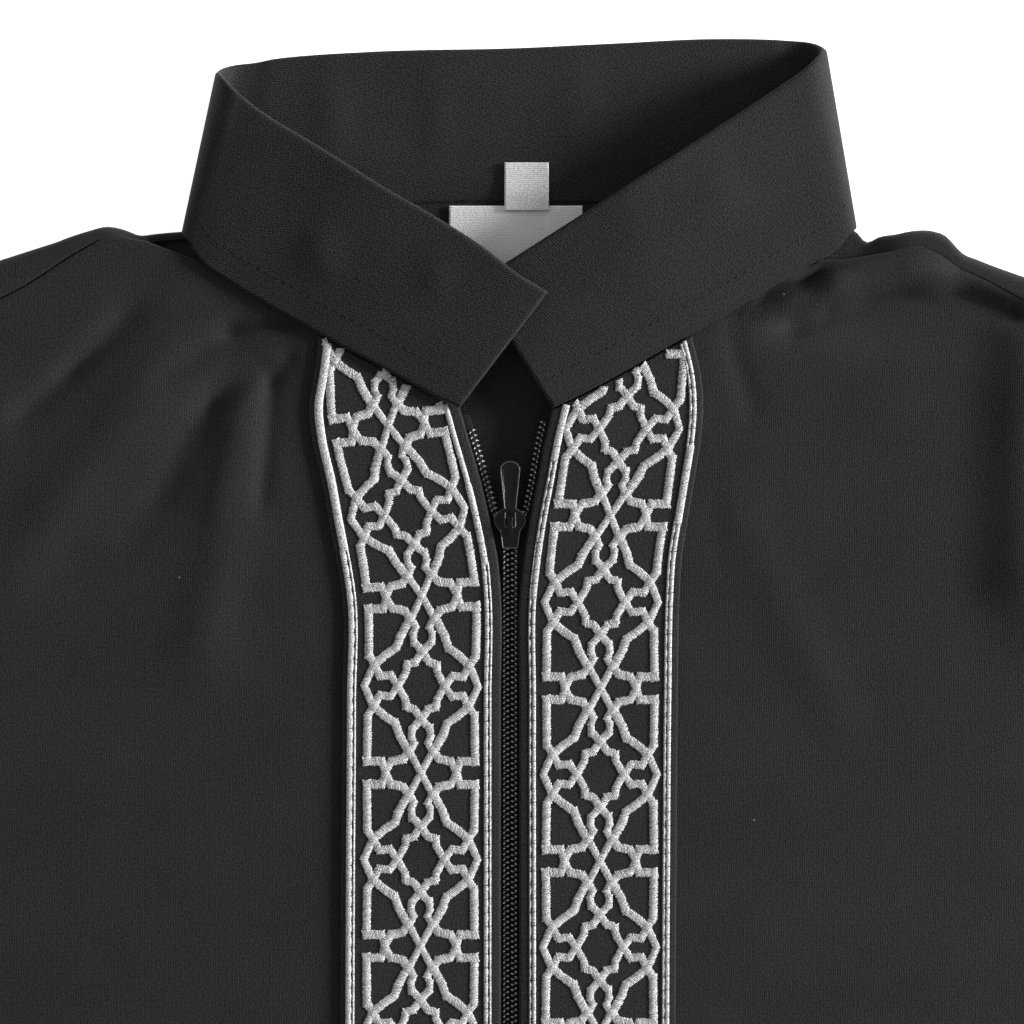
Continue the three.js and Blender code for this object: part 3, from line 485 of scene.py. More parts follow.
# Ribbed label cloth: ribs across it, a woven ground, and a little soiling.
def makeLabelMaterial(name, dark, light, pitch, gloss):
    material, tree, shader = newMaterial(name, gloss, 0.4, sheen=0.1)
    uv = addNode(tree, "ShaderNodeTexCoord").outputs["UV"]
    weave = addNode(tree, "ShaderNodeGroup", {"node_tree": weaveGroup}, Vector=uv, Pitch=pitch,
                    Turn=math.radians(90), Cross=0.25, Uneven=0.15)
    wear = addNode(tree, "ShaderNodeGroup", {"node_tree": wearGroup}, Vector=uv, Patch=120.0, Lint=0.0)
    share = calc(tree, "ADD", weave.outputs["Tone"], calc(tree, "SUBTRACT", wear.outputs["Patches"], 0.5))
    colour = mixColours(tree, share, grey(dark, 0.02), grey(light, 0.02))
    tree.links.new(colour, shader.inputs["Base Color"])
    bump = addNode(tree, "ShaderNodeBump", Strength=0.5, Distance=0.0002, Height=weave.outputs["Height"])
    tree.links.new(bump.outputs[0], shader.inputs["Normal"])
    return material


# Black lacquer: fine orange peel; a paler level, as on the rims, is a painted highlight along the edges.
def makeLacquerMaterial(name, level, roughness, specular):
    material, tree, shader = newMaterial(name, roughness, specular)
    where = addNode(tree, "ShaderNodeTexCoord").outputs["Object"]
    peel = addNode(tree, "ShaderNodeTexNoise", {"noise_dimensions": "3D"}, Vector=where, Scale=900.0, Detail=3.0)
    colour = mixColours(tree, peel.outputs[0], grey(level), grey(level * 1.8))
    tree.links.new(colour, shader.inputs["Base Color"])
    rough = calc(tree, "ADD", roughness - 0.06, calc(tree, "MULTIPLY", peel.outputs[0], 0.12))
    tree.links.new(rough, shader.inputs["Roughness"])
    bump = addNode(tree, "ShaderNodeBump", Strength=0.08, Distance=0.0001, Height=peel.outputs[0])
    tree.links.new(bump.outputs[0], shader.inputs["Normal"])
    return material


materials = {
    "cloth": makeClothMaterial("black crepe", clothLooks["cloth"]),
    "collar": makeClothMaterial("black twill", clothLooks["collar"]),
    "band": makeClothMaterial("black band ground", clothLooks["band"], lint=0.0),
    "zip": makeClothMaterial("black zip tape", clothLooks["zip"], lint=0.0),
    "coil": makeLacquerMaterial("black nylon coil", 0.022, 0.28, 1.0),
    # painted highlight: the coil's sewing is pale so that it stands in for the coil's glints
    "glint": makeThreadMaterial("coil sewing painted glint", 0.25, 0.8, 0.32, 2600.0),
    "slider": makeLacquerMaterial("black lacquered metal", 0.003, 0.22, 0.4),
    # painted highlight: the rims' paler lacquer stands in for light caught on the edges
    "rim": makeLacquerMaterial("pale lacquer edge painted highlight", 0.035, 0.28, 0.6),
    "embroidery": makeThreadMaterial("silver satin thread", 0.1, 0.85, 0.42, 3000.0),
    "braid": makeThreadMaterial("silver braid thread", 0.12, 0.8, 0.4, 2400.0),
    "thread": makeThreadMaterial("black sewing thread", 0.002, 0.008, 0.8, 2600.0),
    "label": makeLabelMaterial("grey label satin", 0.86, 0.98, 0.0005, 0.45),
    "tape": makeLabelMaterial("pale ribbed tape", 0.6, 0.92, 0.0006, 0.6),
}
print("materials:", len(materials))


def meshObject(name, points, faces, material, uv=None, shade=None):
    mesh = bpy.data.meshes.new(name)
    mesh.from_pydata(toWorld(points).tolist(), [], np.asarray(faces).tolist())
    mesh.polygons.foreach_set("use_smooth", np.ones(len(mesh.polygons), bool))
    if uv is not None:
        layer = mesh.uv_layers.new(name="UVMap")
        corners = np.zeros(len(mesh.loops), int)
        mesh.loops.foreach_get("vertex_index", corners)
        layer.data.foreach_set("uv", (np.asarray(uv, float)[corners] * 0.001).ravel())
    if shade is not None:
        attribute = mesh.attributes.new("shade", "FLOAT", "POINT")
        attribute.data.foreach_set("value", np.asarray(shade, float))
    mesh.materials.append(materials[material])
    mesh.update()
    obj = bpy.data.objects.new(name, mesh)
    bpy.context.scene.collection.objects.link(obj)
    made[name] = obj
    return obj


def addEdgeLines(stack, offsets):  # extra lines of points close to both ends of the first axis
    head = []
    tail = []
    first = np.linalg.norm(stack[1, :, :3] - stack[0, :, :3], axis=-1)[:, None]
    last = np.linalg.norm(stack[-2, :, :3] - stack[-1, :, :3], axis=-1)[:, None]
    for offset in offsets:
        head.append(stack[0] + (stack[1] - stack[0]) * np.minimum(offset / first, 0.9))
        tail.append(stack[-1] + (stack[-2] - stack[-1]) * np.minimum(offset / last, 0.9))
    return np.concatenate([stack[:1], head, stack[1:-1], tail[::-1], stack[-1:]])


# A sheet of cloth about a grid of points, with both faces and rounded edges, all closed.
def clothShell(name, grid, thickness, material, uv, relief=None, shade=None):
    grid = np.asarray(grid, float)
    relief = np.zeros(grid.shape[:2]) if relief is None else relief
    shade = np.zeros(grid.shape[:2]) if shade is None else shade
    stack = np.concatenate([grid, uv, relief[..., None], shade[..., None]], axis=-1)
    half = thickness / 2
    offsets = [half * share for share in (0.12, 0.45, 1.0)]
    stack = addEdgeLines(stack, offsets)
    stack = addEdgeLines(stack.transpose(1, 0, 2), offsets).transpose(1, 0, 2)
    rows, columns = stack.shape[:2]

    def edgeShares(count):
        shares = np.ones(count)
        for place, offset in enumerate([0] + offsets):
            shares[place] = math.sqrt(max(1 - (1 - offset / half) ** 2, 0))
            shares[count - 1 - place] = shares[place]
        return shares

    share = np.minimum(edgeShares(rows)[:, None], edgeShares(columns)[None, :])
    points = stack[..., :3]
    normals = unit(np.cross(np.gradient(points, axis=1), np.gradient(points, axis=0)))
    top = points + normals * (share * half + stack[..., 5] * share)[..., None]
    bottom = points - normals * (share * half)[..., None]
    upper = np.arange(rows * columns).reshape(rows, columns)
    lower = upper + rows * columns
    lower[0] = upper[0]
    lower[-1] = upper[-1]
    lower[:, 0] = upper[:, 0]
    lower[:, -1] = upper[:, -1]

    def quads(index):
        return np.stack([index[:-1, :-1], index[:-1, 1:], index[1:, 1:], index[1:, :-1]], axis=-1).reshape(-1, 4)

    faces = np.concatenate([quads(upper), quads(lower)[:, ::-1]])
    allPoints = np.concatenate([top.reshape(-1, 3), bottom.reshape(-1, 3)])
    allUv = np.tile(stack[..., 3:5].reshape(-1, 2), (2, 1))
    allShade = np.tile(stack[..., 6].ravel(), 2)
    used = np.unique(faces)
    renumber = np.zeros(len(allPoints), int)
    renumber[used] = np.arange(len(used))
    obj = meshObject(name, allPoints[used], renumber[faces], material, allUv[used], allShade[used])
    return obj, top


# A cord laid along a path: domed on top, flat below, with slanting ribs of thread.
def laidCord(name, path, width, rise, material, ribPitch=0.9, ribDepth=0.07, across=None):
    path = np.asarray(path, float)
    forward = unit(np.gradient(path, axis=0))
    sideways = unit(np.cross(forward, [0, 0, 1]))
    run = np.concatenate([[0], np.cumsum(np.linalg.norm(np.diff(path, axis=0), axis=1))])
    turns = np.linspace(math.pi, 0, 8)
    half = np.asarray(width, float) / 2 * np.ones(len(path))
    pinch = np.ones(len(path)) if across is None else across
    rings = []
    uv = []
    for turn in turns:
        rib = 1 + ribDepth * np.sin(2 * math.pi * (run / ribPitch + turn / math.pi * 1.2))
        high = rise * math.sin(turn) ** 0.8 * rib * pinch
        ring = path + sideways * (half * math.cos(turn) * (1 + 0.4 * (rib - 1)))[:, None]
        ring = ring + np.outer(high, [0, 0, 1])
        rings.append(ring)
        uv.append(np.stack([half * math.cos(turn), run], axis=-1))
    points = np.stack(rings, axis=1)
    count, sides = points.shape[:2]
    index = np.arange(count * sides).reshape(count, sides)
    around = np.concatenate([index, index[:, :1]], axis=1)
    faces = np.stack([around[:-1, :-1], around[:-1, 1:], around[1:, 1:], around[1:, :-1]], axis=-1).reshape(-1, 4)
    faces = faces.tolist() + [index[0, ::-1].tolist(), index[-1].tolist()]
    return points.reshape(-1, 3), faces, np.stack(uv, axis=1).reshape(-1, 2)


def outward(faces, points):  # turns all faces round if they point inwards
    total = 0.0
    for face in faces:
        for step in range(1, len(face) - 1):
            a, b, c = points[face[0]], points[face[step]], points[face[step + 1]]
            total += float(np.dot(a, np.cross(b, c)))
    return faces if total > 0 else [face[::-1] for face in faces]


def joinParts(name, parts, material, shade=None):
    points = []
    faces = []
    uvs = []
    offset = 0
    for part in parts:
        points.append(part[0])
        faces += [[corner + offset for corner in face] for face in outward(part[1], part[0])]
        uvs.append(part[2])
        offset += len(part[0])
    mesh = bpy.data.meshes.new(name)
    allPoints = np.concatenate(points)
    mesh.from_pydata(toWorld(allPoints).tolist(), [], faces)
    mesh.polygons.foreach_set("use_smooth", np.ones(len(mesh.polygons), bool))
    layer = mesh.uv_layers.new(name="UVMap")
    corners = np.zeros(len(mesh.loops), int)
    mesh.loops.foreach_get("vertex_index", corners)
    layer.data.foreach_set("uv", (np.concatenate(uvs)[corners] * 0.001).ravel())
    attribute = mesh.attributes.new("shade", "FLOAT", "POINT")
    attribute.data.foreach_set("value", np.full(len(mesh.vertices), 0.5 if shade is None else shade))
    mesh.materials.append(materials[material])
    obj = bpy.data.objects.new(name, mesh)
    bpy.context.scene.collection.objects.link(obj)
    made[name] = obj
    return obj


# Geometry Nodes: lays copies of one stitch, link or knot along every path of a mesh of lines.
def makeStitchTree():
    tree, start, end = newGroup("stitches along a path", "GeometryNodeTree", [
        ("Paths", "NodeSocketGeometry", None),
        ("Stitch", "NodeSocketObject", None),
        ("Spacing", "NodeSocketFloat", 0.0004),
        ("Thread", "NodeSocketFloat", 0.0004),
        ("Rise", "NodeSocketFloat", 0.0006),
        ("Slant", "NodeSocketFloat", 0.0),
        ("Unevenness", "NodeSocketFloat", 0.1),
        ("Seed", "NodeSocketInt", 1),
        ("Material", "NodeSocketMaterial", None),
    ], [("Stitches", "NodeSocketGeometry")])
    take = start.outputs
    curve = addNode(tree, "GeometryNodeMeshToCurve", Mesh=take["Paths"])
    spaced = addNode(tree, "GeometryNodeResampleCurve", {"mode": "LENGTH"}, Curve=curve.outputs[0],
                     Length=take["Spacing"])
    source = addNode(tree, "GeometryNodeObjectInfo", Object=take["Stitch"])
    tangent = addNode(tree, "GeometryNodeInputTangent")
    facing = addNode(tree, "FunctionNodeAlignRotationToVector", {"axis": "X", "pivot_axis": "Z"},
                     Vector=tangent.outputs[0])

    def randomly(low, high, offset):
        seed = calc(tree, "ADD", take["Seed"], offset)
        node = addNode(tree, "FunctionNodeRandomValue", {"data_type": "FLOAT"})
        for name, value in (("Min", low), ("Max", high), ("Seed", seed)):
            socket = [one for one in node.inputs if one.name == name and one.enabled][0]
            if isinstance(value, bpy.types.NodeSocket):
                tree.links.new(value, socket)
            else:
                socket.default_value = value
        return [one for one in node.outputs if one.enabled][0]

    less = calc(tree, "MULTIPLY", take["Unevenness"], -1.0)
    wobble = calc(tree, "ADD", take["Slant"], randomly(less, take["Unevenness"], 1))
    angles = addNode(tree, "ShaderNodeCombineXYZ", Z=wobble)
    turn = addNode(tree, "FunctionNodeEulerToRotation", Euler=angles.outputs[0])
    rotated = addNode(tree, "FunctionNodeRotateRotation", {"rotation_space": "LOCAL"},
                      Rotation=facing.outputs[0], Rotate_By=turn.outputs[0])
    half = addNode(tree, "GeometryNodeInputNamedAttribute", {"data_type": "FLOAT"}, Name="halfWidth")
    across = calc(tree, "MULTIPLY", half.outputs["Attribute"],
                  calc(tree, "ADD", randomly(less, take["Unevenness"], 2), 1.0))
    high = calc(tree, "MULTIPLY", take["Rise"], calc(tree, "ADD", randomly(less, take["Unevenness"], 3), 1.0))
    scale = addNode(tree, "ShaderNodeCombineXYZ", X=take["Thread"], Y=across, Z=high)
    placed = addNode(tree, "GeometryNodeInstanceOnPoints", Points=spaced.outputs[0],
                     Instance=source.outputs["Geometry"], Rotation=rotated.outputs[0], Scale=scale.outputs[0])
    shaded = addNode(tree, "GeometryNodeStoreNamedAttribute", {"data_type": "FLOAT", "domain": "INSTANCE"},
                     Geometry=placed.outputs[0], Name="shade")
    value = [one for one in shaded.inputs if one.name == "Value" and one.enabled][0]
    tree.links.new(randomly(0.0, 1.0, 4), value)
    real = addNode(tree, "GeometryNodeRealizeInstances", Geometry=shaded.outputs[0])
    coated = addNode(tree, "GeometryNodeSetMaterial", Geometry=real.outputs[0], Material=take["Material"])
    tree.links.new(coated.outputs[0], end.inputs["Stitches"])
    return tree


stitchTree = makeStitchTree()


def templateObject(name, points, faces, smooth=True):
    mesh = bpy.data.meshes.new(name)
    mesh.from_pydata(points, [], faces)
    mesh.polygons.foreach_set("use_smooth", np.full(len(mesh.polygons), smooth))
    return bpy.data.objects.new(name, mesh)


# One satin stitch: a thread from edge to edge, domed and with a ridge along it.
def makeSatinStitch():
    points = [(0, -1.03, 0)]
    for y in (-0.76, 0.76):
        points += [(-0.5, y, 0.55), (0, y, 0.88), (0.5, y, 0.55), (0, y, -0.1)]
    points.append((0, 1.03, 0))
    faces = [(0, 1, 2), (0, 2, 3), (0, 3, 4), (0, 4, 1)]
    faces += [(1 + k, 5 + k, 5 + (k + 1) % 4, 1 + (k + 1) % 4) for k in range(4)]
    faces += [(9, 6, 5), (9, 7, 6), (9, 8, 7), (9, 5, 8)]
    return templateObject("satin stitch", points, faces)


# One straight stitch of sewing thread: a bead that dives into the cloth at both ends.
def makeSewnStitch():
    points = [(-0.5, 0, -0.9)]
    for x, size in ((-0.42, 0.75), (-0.2, 1.0), (0.2, 1.0), (0.42, 0.75)):
        for turn in range(5):
            angle = 2 * math.pi * turn / 5
            points.append((x, size * math.sin(angle), size * math.cos(angle) - (1 - size) * 1.6))
    points.append((0.5, 0, -0.9))
    faces = [(0, 1 + (k + 1) % 5, 1 + k) for k in range(5)]
    for start in (1, 6, 11):
        faces += [(start + k, start + (k + 1) % 5, start + 5 + (k + 1) % 5, start + 5 + k) for k in range(5)]
    last = len(points) - 1
    faces += [(last, 16 + k, 16 + (k + 1) % 5) for k in range(5)]
    return templateObject("sewn stitch", points, faces)


# One turn of the coil: a flattened ring of thread, wider at its head.
def makeCoilTurn():
    points = []
    faces = []
    steps = 12
    sides = 5
    for step in range(steps):
        angle = 2 * math.pi * step / steps
        reach = math.cos(angle)
        centre = np.array([0.16 * math.sin(angle), 1.0 * np.sign(reach) * abs(reach) ** 0.75, 0.82 * math.sin(angle)])
        out = unit(np.array([0, math.cos(angle) * 0.8, math.sin(angle)]))
        size = 0.3 + 0.06 * max(reach, 0) ** 4
        for side in range(sides):
            turn = 2 * math.pi * side / sides
            points.append(tuple(centre + out * size * math.cos(turn) + np.array([1.25, 0, 0]) * size * math.sin(turn)))
            near = step * sides + side
            far = ((step + 1) % steps) * sides
            faces.append((near, far + side, far + (side + 1) % sides, step * sides + (side + 1) % sides))
    flat = np.array(points)
    return templateObject("coil turn", points, outward(faces, flat))


templates = {"satin": makeSatinStitch(), "sewn": makeSewnStitch(), "coil": makeCoilTurn()}


def checkTemplate(obj):
    flat = np.array([vertex.co for vertex in obj.data.vertices])
    faces = [list(face.vertices) for face in obj.data.polygons]
    turned = outward(faces, flat)
    if turned is not faces:
        obj.data.flip_normals()


for template in templates.values():
    checkTemplate(template)


# Runs the stitch tree on paths of (x, y, z, half width) rows, and leaves a plain mesh.
def stitchAlong(name, paths, template, material, spacing, thread, rise, slant=0.0, uneven=0.1, seed=1):
    points = []
    edges = []
    widths = []
    for path in paths:
        if len(path) < 2:
            continue
        path = np.asarray(path, float)
        first = len(points)
        points += toWorld(path[:, :3]).tolist()
        widths += (path[:, 3] * 0.001).tolist()
        edges += [(first + k, first + k + 1) for k in range(len(path) - 1)]
    mesh = bpy.data.meshes.new(name)
    mesh.from_pydata(points, edges, [])
    attribute = mesh.attributes.new("halfWidth", "FLOAT", "POINT")
    attribute.data.foreach_set("value", np.array(widths))
    obj = bpy.data.objects.new(name, mesh)
    bpy.context.scene.collection.objects.link(obj)
    modifier = obj.modifiers.new("stitches", "NODES")
    modifier.node_group = stitchTree
    values = {
        "Stitch": templates[template], "Spacing": spacing * 0.001, "Thread": thread * 0.001,
        "Rise": rise * 0.001, "Slant": math.radians(slant), "Unevenness": uneven, "Seed": seed,
        "Material": materials[material],
    }
    for item in stitchTree.interface.items_tree:
        if item.in_out == "INPUT" and item.name in values:
            modifier[item.identifier] = values[item.name]
    graph = bpy.context.evaluated_depsgraph_get()
    finished = bpy.data.meshes.new_from_object(obj.evaluated_get(graph), depsgraph=graph)
    obj.modifiers.remove(modifier)
    obj.data = finished
    finished.name = name
    made[name] = obj
    return obj


def gridUv(grid):  # lengths along and across a grid, in millimetres
    rows = np.zeros(grid.shape[:2])
    rows[1:] = np.cumsum(np.linalg.norm(np.diff(grid, axis=0), axis=-1).mean(axis=1))[:, None]
    columns = np.zeros(grid.shape[:2])
    columns[:, 1:] = np.cumsum(np.linalg.norm(np.diff(grid, axis=1), axis=-1).mean(axis=0))[None, :]
    return np.stack([columns, rows], axis=-1)


# The two fronts: one grid each, between the neck and shoulder, the armhole and side, hem and zip.
frontSizes = {"neckColumns": 60, "shoulderColumns": 40, "chestRows": 112, "skirtRows": 40}


def makeFront(side):
    neck = frontSizes["neckColumns"]
    start = float(frontTopY(15.5, side))
    tip = float(shoulderSeamY(shoulderTip["x"], side)) - seamGap
    topX = np.concatenate([
        np.linspace(foldedEdgeX(start, side), neckPoint, neck, endpoint=False),
        np.linspace(neckPoint, shoulderTip["x"] - seamGap, frontSizes["shoulderColumns"] + 1),
    ])
    outerY = np.concatenate([
        np.linspace(tip, underarm["y"], frontSizes["chestRows"], endpoint=False),
        lerp(underarm["y"], hemSide["y"], np.linspace(0, 1, frontSizes["skirtRows"] + 1) ** 1.2),
    ])
    down = (outerY - tip) / (hemSide["y"] - tip)
    over = (topX - topX[0]) / (topX[-1] - topX[0])
    innerY = lerp(start, -garment["length"], down)
    inner = np.stack([foldedEdgeX(innerY, side), innerY], axis=-1)
    outer = np.stack([sideX(outerY) - seamGap * (outerY >= underarm["y"]), outerY], axis=-1)
    top = np.stack([topX, frontTopY(topX, side)], axis=-1)
    hemX = lerp(seamGap / 2, hemSide["x"], over)
    hem = np.stack([hemX, hemY(hemX)], axis=-1)
    u = over[None, :, None]
    v = down[:, None, None]
    corners = lerp(lerp(top[0], top[-1], u), lerp(hem[0], hem[-1], u), v)
    flat = lerp(inner[:, None], outer[:, None], u) + lerp(top[None], hem[None], v) - corners
    x = flat[..., 0] * side
    y = flat[..., 1]
    grid = np.stack([x, y, frontHeight(x, y)], axis=-1)
    if side > 0:
        grid = grid
    else:
        grid = grid[:, ::-1]
    uv = np.stack([grid[..., 0], grid[..., 1]], axis=-1)
    obj, surface = clothShell(f"front {sideNamed(side)} cloth".replace(" ", "_"), grid, cloth, "cloth", uv)
    return obj


fronts = {sideNamed(side): makeFront(side) for side in (-1, 1)}
print("fronts made")


# The back: a plate under both fronts that rolls forward over the shoulders to their seams.
backSizes = {"rows": 54, "rollSteps": 12, "rollStart": 88, "tuck": 0.6}


def makeBack():
    startX = backSizes["rollStart"]
    shoulderX = np.linspace(startX, shoulderTip["x"] - seamGap, 90)
    roll = rollRadius(shoulderX)
    neckRows = np.array([(row["bx"], row["by"]) for row in [collarLeftFold] + collarBack + [collarRightFold]])
    neckX = np.linspace(-startX, startX, 64)[1:-1]
    neckTop = np.interp(neckX, neckRows[:, 0], neckRows[:, 1]) + backSizes["tuck"]
    leftTop = foldY(shoulderX, -1) - roll
    rightTop = foldY(shoulderX, 1) - roll
    topX = np.concatenate([-shoulderX[::-1], neckX, shoulderX])
    topY = np.concatenate([leftTop[::-1], neckTop, rightTop])
    down = np.linspace(0, 1, backSizes["rows"] + 1) ** 1.25
    tipY = topY[0]
    bodyY = lerp(tipY, hemSide["y"], down)
    edgeX = sideX(bodyY) - seamGap * (bodyY > underarm["y"])
    over = topX / topX[-1]
    hemX = over * hemSide["x"]
    u = over[None, :]
    v = down[:, None]
    x = lerp(topX[None, :], hemX[None, :], v) + u * (edgeX[:, None] - lerp(topX[-1], hemSide["x"], v))
    y = lerp(topY[None, :], hemY(hemX)[None, :], v) + np.abs(u) * 0 * v
    points = np.stack([x, y, np.full_like(x, cloth / 2)], axis=-1)
    count = len(topX)
    faces = []
    index = np.arange(points.shape[0] * count).reshape(points.shape[0], count)
    quads = np.stack([index[1:, :-1], index[1:, 1:], index[:-1, 1:], index[:-1, :-1]], axis=-1)
    faces = quads.reshape(-1, 4).tolist()
    allPoints = points.reshape(-1, 3).tolist()
    allUv = np.stack([x, y], axis=-1).reshape(-1, 2).tolist()
    for side, first in ((-1, 0), (1, count - len(shoulderX))):
        columns = np.arange(first, first + len(shoulderX))
        spots = topX[columns]
        reach = np.abs(spots)
        roll = rollRadius(reach)
        middle = roll - cloth / 2
        fold = foldY(reach, side) - roll
        seam = np.minimum(shoulderSeamY(reach, side), fold - 0.8)
        rowsAbove = []
        turns = np.linspace(-math.pi / 2, math.pi / 2, backSizes["rollSteps"])
        for turn in turns[1:]:
            rowsAbove.append(np.stack([spots, fold + middle * math.cos(turn), roll + middle * math.sin(turn)],
                                      axis=-1))
        for share in (0.34, 0.67, 1.0):
            rowsAbove.append(np.stack([spots, lerp(fold, seam, share), 2 * roll - cloth / 2], axis=-1))
        previous = columns
        for stepNumber, row in enumerate(rowsAbove):
            base = len(allPoints)
            allPoints += row.tolist()
            allUv += [[spot, 6 * stepNumber / 4 + one] for spot, one in zip(row[:, 0], fold)]
            current = np.arange(base, base + len(spots))
            for k in range(len(spots) - 1):
                faces.append([int(previous[k]), int(previous[k + 1]), int(current[k + 1]), int(current[k])])
            previous = current
    obj = meshObject("back_cloth", allPoints, faces, "cloth", allUv)
    solid = obj.modifiers.new("thickness", "SOLIDIFY")
    solid.thickness = cloth * 0.001
    solid.offset = 0
    soften = obj.modifiers.new("soft edges", "BEVEL")
    soften.width = 0.0004
    soften.segments = 2
    soften.limit_method = "ANGLE"
    soften.angle_limit = math.radians(60)
    graph = bpy.context.evaluated_depsgraph_get()
    finished = bpy.data.meshes.new_from_object(obj.evaluated_get(graph), depsgraph=graph)
    obj.modifiers.clear()
    obj.data = finished
    return obj


back = makeBack()
print("back made")


# Each sleeve: a tube that lies flat, with the folds of its upper layer.
sleeveSizes = {"length": 590, "fall": 36, "cuff": 145, "loft": 3.8, "stations": 60, "levels": 40, "arc": 8}
sleeveFolds = [
    (0.04, 0.3, 0.3, 0.8, 3, 14),
    (0.34, 0.9, 0.56, 0.3, 3.4, 12),
    (0.5, 0.85, 0.72, 0.42, 2.6, 12),
    (0.74, 0.2, 0.96, 0.36, 2, 11),
]


def sleevePoint(s, t, side):
    fall = math.radians(sleeveSizes["fall"])
    outX = shoulderTip["x"] + sleeveSizes["length"] * math.cos(fall)
    outY = shoulderTip["y"] - sleeveSizes["length"] * math.sin(fall)
    cuffX = outX - t * sleeveSizes["cuff"] * math.sin(fall)
    cuffY = outY - t * sleeveSizes["cuff"] * math.cos(fall)
    y = lerp(shoulderTip["y"], underarm["y"], t)
    return side * lerp(sideX(y), cuffX, s), lerp(y, cuffY, s)


def sleeveTop(s, t, side):
    armX, armY = sleevePoint(0, t, side)
    start = frontHeight(armX, armY - 0.01) + cloth / 2
    plain = lerp(start, sleeveSizes["loft"] + 1.4 * np.sin(math.pi * t), ease(s / 0.35))
    folds = 0
    for s0, t0, s1, t1, height, width in sleeveFolds:
        folds = folds + foldBump((s0 * 560, t0 * 190, s1 * 560, t1 * 190, height, width), s * 560, t * 190)
    free = ease(s / 0.12) * ease(np.minimum(t, 1 - t) / 0.2)
    return plain + folds * free


def makeSleeve(side):
    levels = sleeveSizes["levels"]
    arc = sleeveSizes["arc"]

    def loop(s, inset):
        width = lerp(abs(shoulderTip["y"] - underarm["y"]), sleeveSizes["cuff"], s)
        low = float(sleeveTop(s, 0.0, side)) / 2
        high = float(sleeveTop(s, 1.0, side)) / 2
        flat = np.linspace(low, width - high, levels)
        turns = -math.pi / 2 + math.pi * np.arange(1, arc) / arc
        top = flat[::-1]
        topShare = np.clip((top - low) / (width - low - high), 0, 1)
        across = np.concatenate([
            flat, width - high + (high - inset) * np.cos(turns), top, low + (low - inset) * np.cos(turns + math.pi)])
        z = np.concatenate([
            np.full(levels, inset), high + (high - inset) * np.sin(turns), sleeveTop(s, topShare, side) - inset,
            low + (low - inset) * np.sin(turns + math.pi)])
        x, y = sleevePoint(s, across / width, side)
        return np.stack([x, y, z], axis=-1), np.stack([across, np.full(len(across), s * 500)], axis=-1)

    stations = np.linspace(0, 1, sleeveSizes["stations"]) ** 1.1
    outer = [loop(s, 0) for s in stations]
    inner = [loop(s, cloth) for s in stations[::-1]]
    step = 0.5 / 560
    loops = outer + [loop(1 + step, cloth / 2)] + inner + [loop(-step * 0.2, cloth / 2)]
    points = np.stack([one[0] for one in loops])
    uv = np.stack([one[1] for one in loops])
    count, sides = points.shape[:2]
    index = np.arange(count * sides).reshape(count, sides)
    near = np.concatenate([index, index[:1]])
    near = np.concatenate([near, near[:, :1]], axis=1)
    faces = np.stack([near[:-1, :-1], near[:-1, 1:], near[1:, 1:], near[1:, :-1]], axis=-1).reshape(-1, 4)
    flat = points.reshape(-1, 3)
    a, b, c, d = (flat[faces[:, k]] for k in range(4))
    volume = (a * np.cross(b, c)).sum() + (a * np.cross(c, d)).sum()
    if volume < 0:
        faces = faces[:, ::-1]
    return meshObject(f"sleeve_{sideNamed(side)}_cloth", flat, faces, "cloth", uv.reshape(-1, 2))


sleeves = {sideNamed(side): makeSleeve(side) for side in (-1, 1)}
print("sleeves made")


# The collar: one strip from its left tip round the back of the neck to its right tip.
collarSizes = {"wall": 1.8, "stations": 280, "levels": 22, "arc": 13, "stitchUp": 8.6, "stitchBeside": 1.5,
               "height": 7.4, "noseAbove": 0.6, "noseRound": 0.9, "foldShade": 0.45}

# Soft swellings of the strip: x, y, height, half its width and length, and the layer it is in.
collarBumps = [
    (-56.3, -16.2, 0.8, 6, 7, "front"),
    (-22, -24, 0.5, 5, 7, "front"),
    (62, 0, 0.5, 8, 9, "front"),
    (-54, 28, 0.5, 6, 14, "back"),
    (-22, 26, 0.45, 6, 16, "back"),
    (20, 30, 0.4, 7, 16, "back"),
]


def collarStations():
    height = collarSizes["height"]
    wall = collarSizes["wall"]
    stations = []

    def frontRow(row):
        low = height + row["lift"]
        stations.append([row["bx"], row["by"], low, row["tx"], row["ty"], low + row["rise"]])

    def foldRows(row, side, frontNext, backNext):
        for step in range(collarSizes["arc"]):
            turn = -side * math.pi * (0.5 - step / (collarSizes["arc"] - 1))
            beside = frontNext if turn > 0 else backNext
            line = []
            for key, rise in (("b", 0), ("t", row["rise"])):
                radius = (height + rise - wall / 2) / 2
                start = np.array([row[key + "x"], row[key + "y"]], float)
                toNext = np.array([beside[key + "x"], beside[key + "y"]], float) - start
                spot = start + toNext / np.linalg.norm(toNext) * radius * (1 - math.cos(turn))
                nose = 0
                if key == "t" and turn > 0:
                    nose = -collarSizes["noseAbove"] * row["nose"] * math.sin(turn)
                elif key == "t":
                    nose = -row["nose"] * math.sin(turn) - collarSizes["noseRound"] * math.sin(2 * turn)
                line += [spot[0] - side * wall / 2, spot[1] + nose, wall / 2 + radius * (1 + math.sin(turn))]
            stations.append(line)

    for row in collarLeft:
        frontRow(row)
    foldRows(collarLeftFold, -1, collarLeft[-1], collarBack[0])
    for row in collarBack:
        stations.append([row["bx"], row["by"], wall / 2, row["tx"], row["ty"], wall / 2])
    foldRows(collarRightFold, 1, collarRight[0], collarBack[-1])
    for row in collarRight:
        frontRow(row)
    return np.array(stations, float)


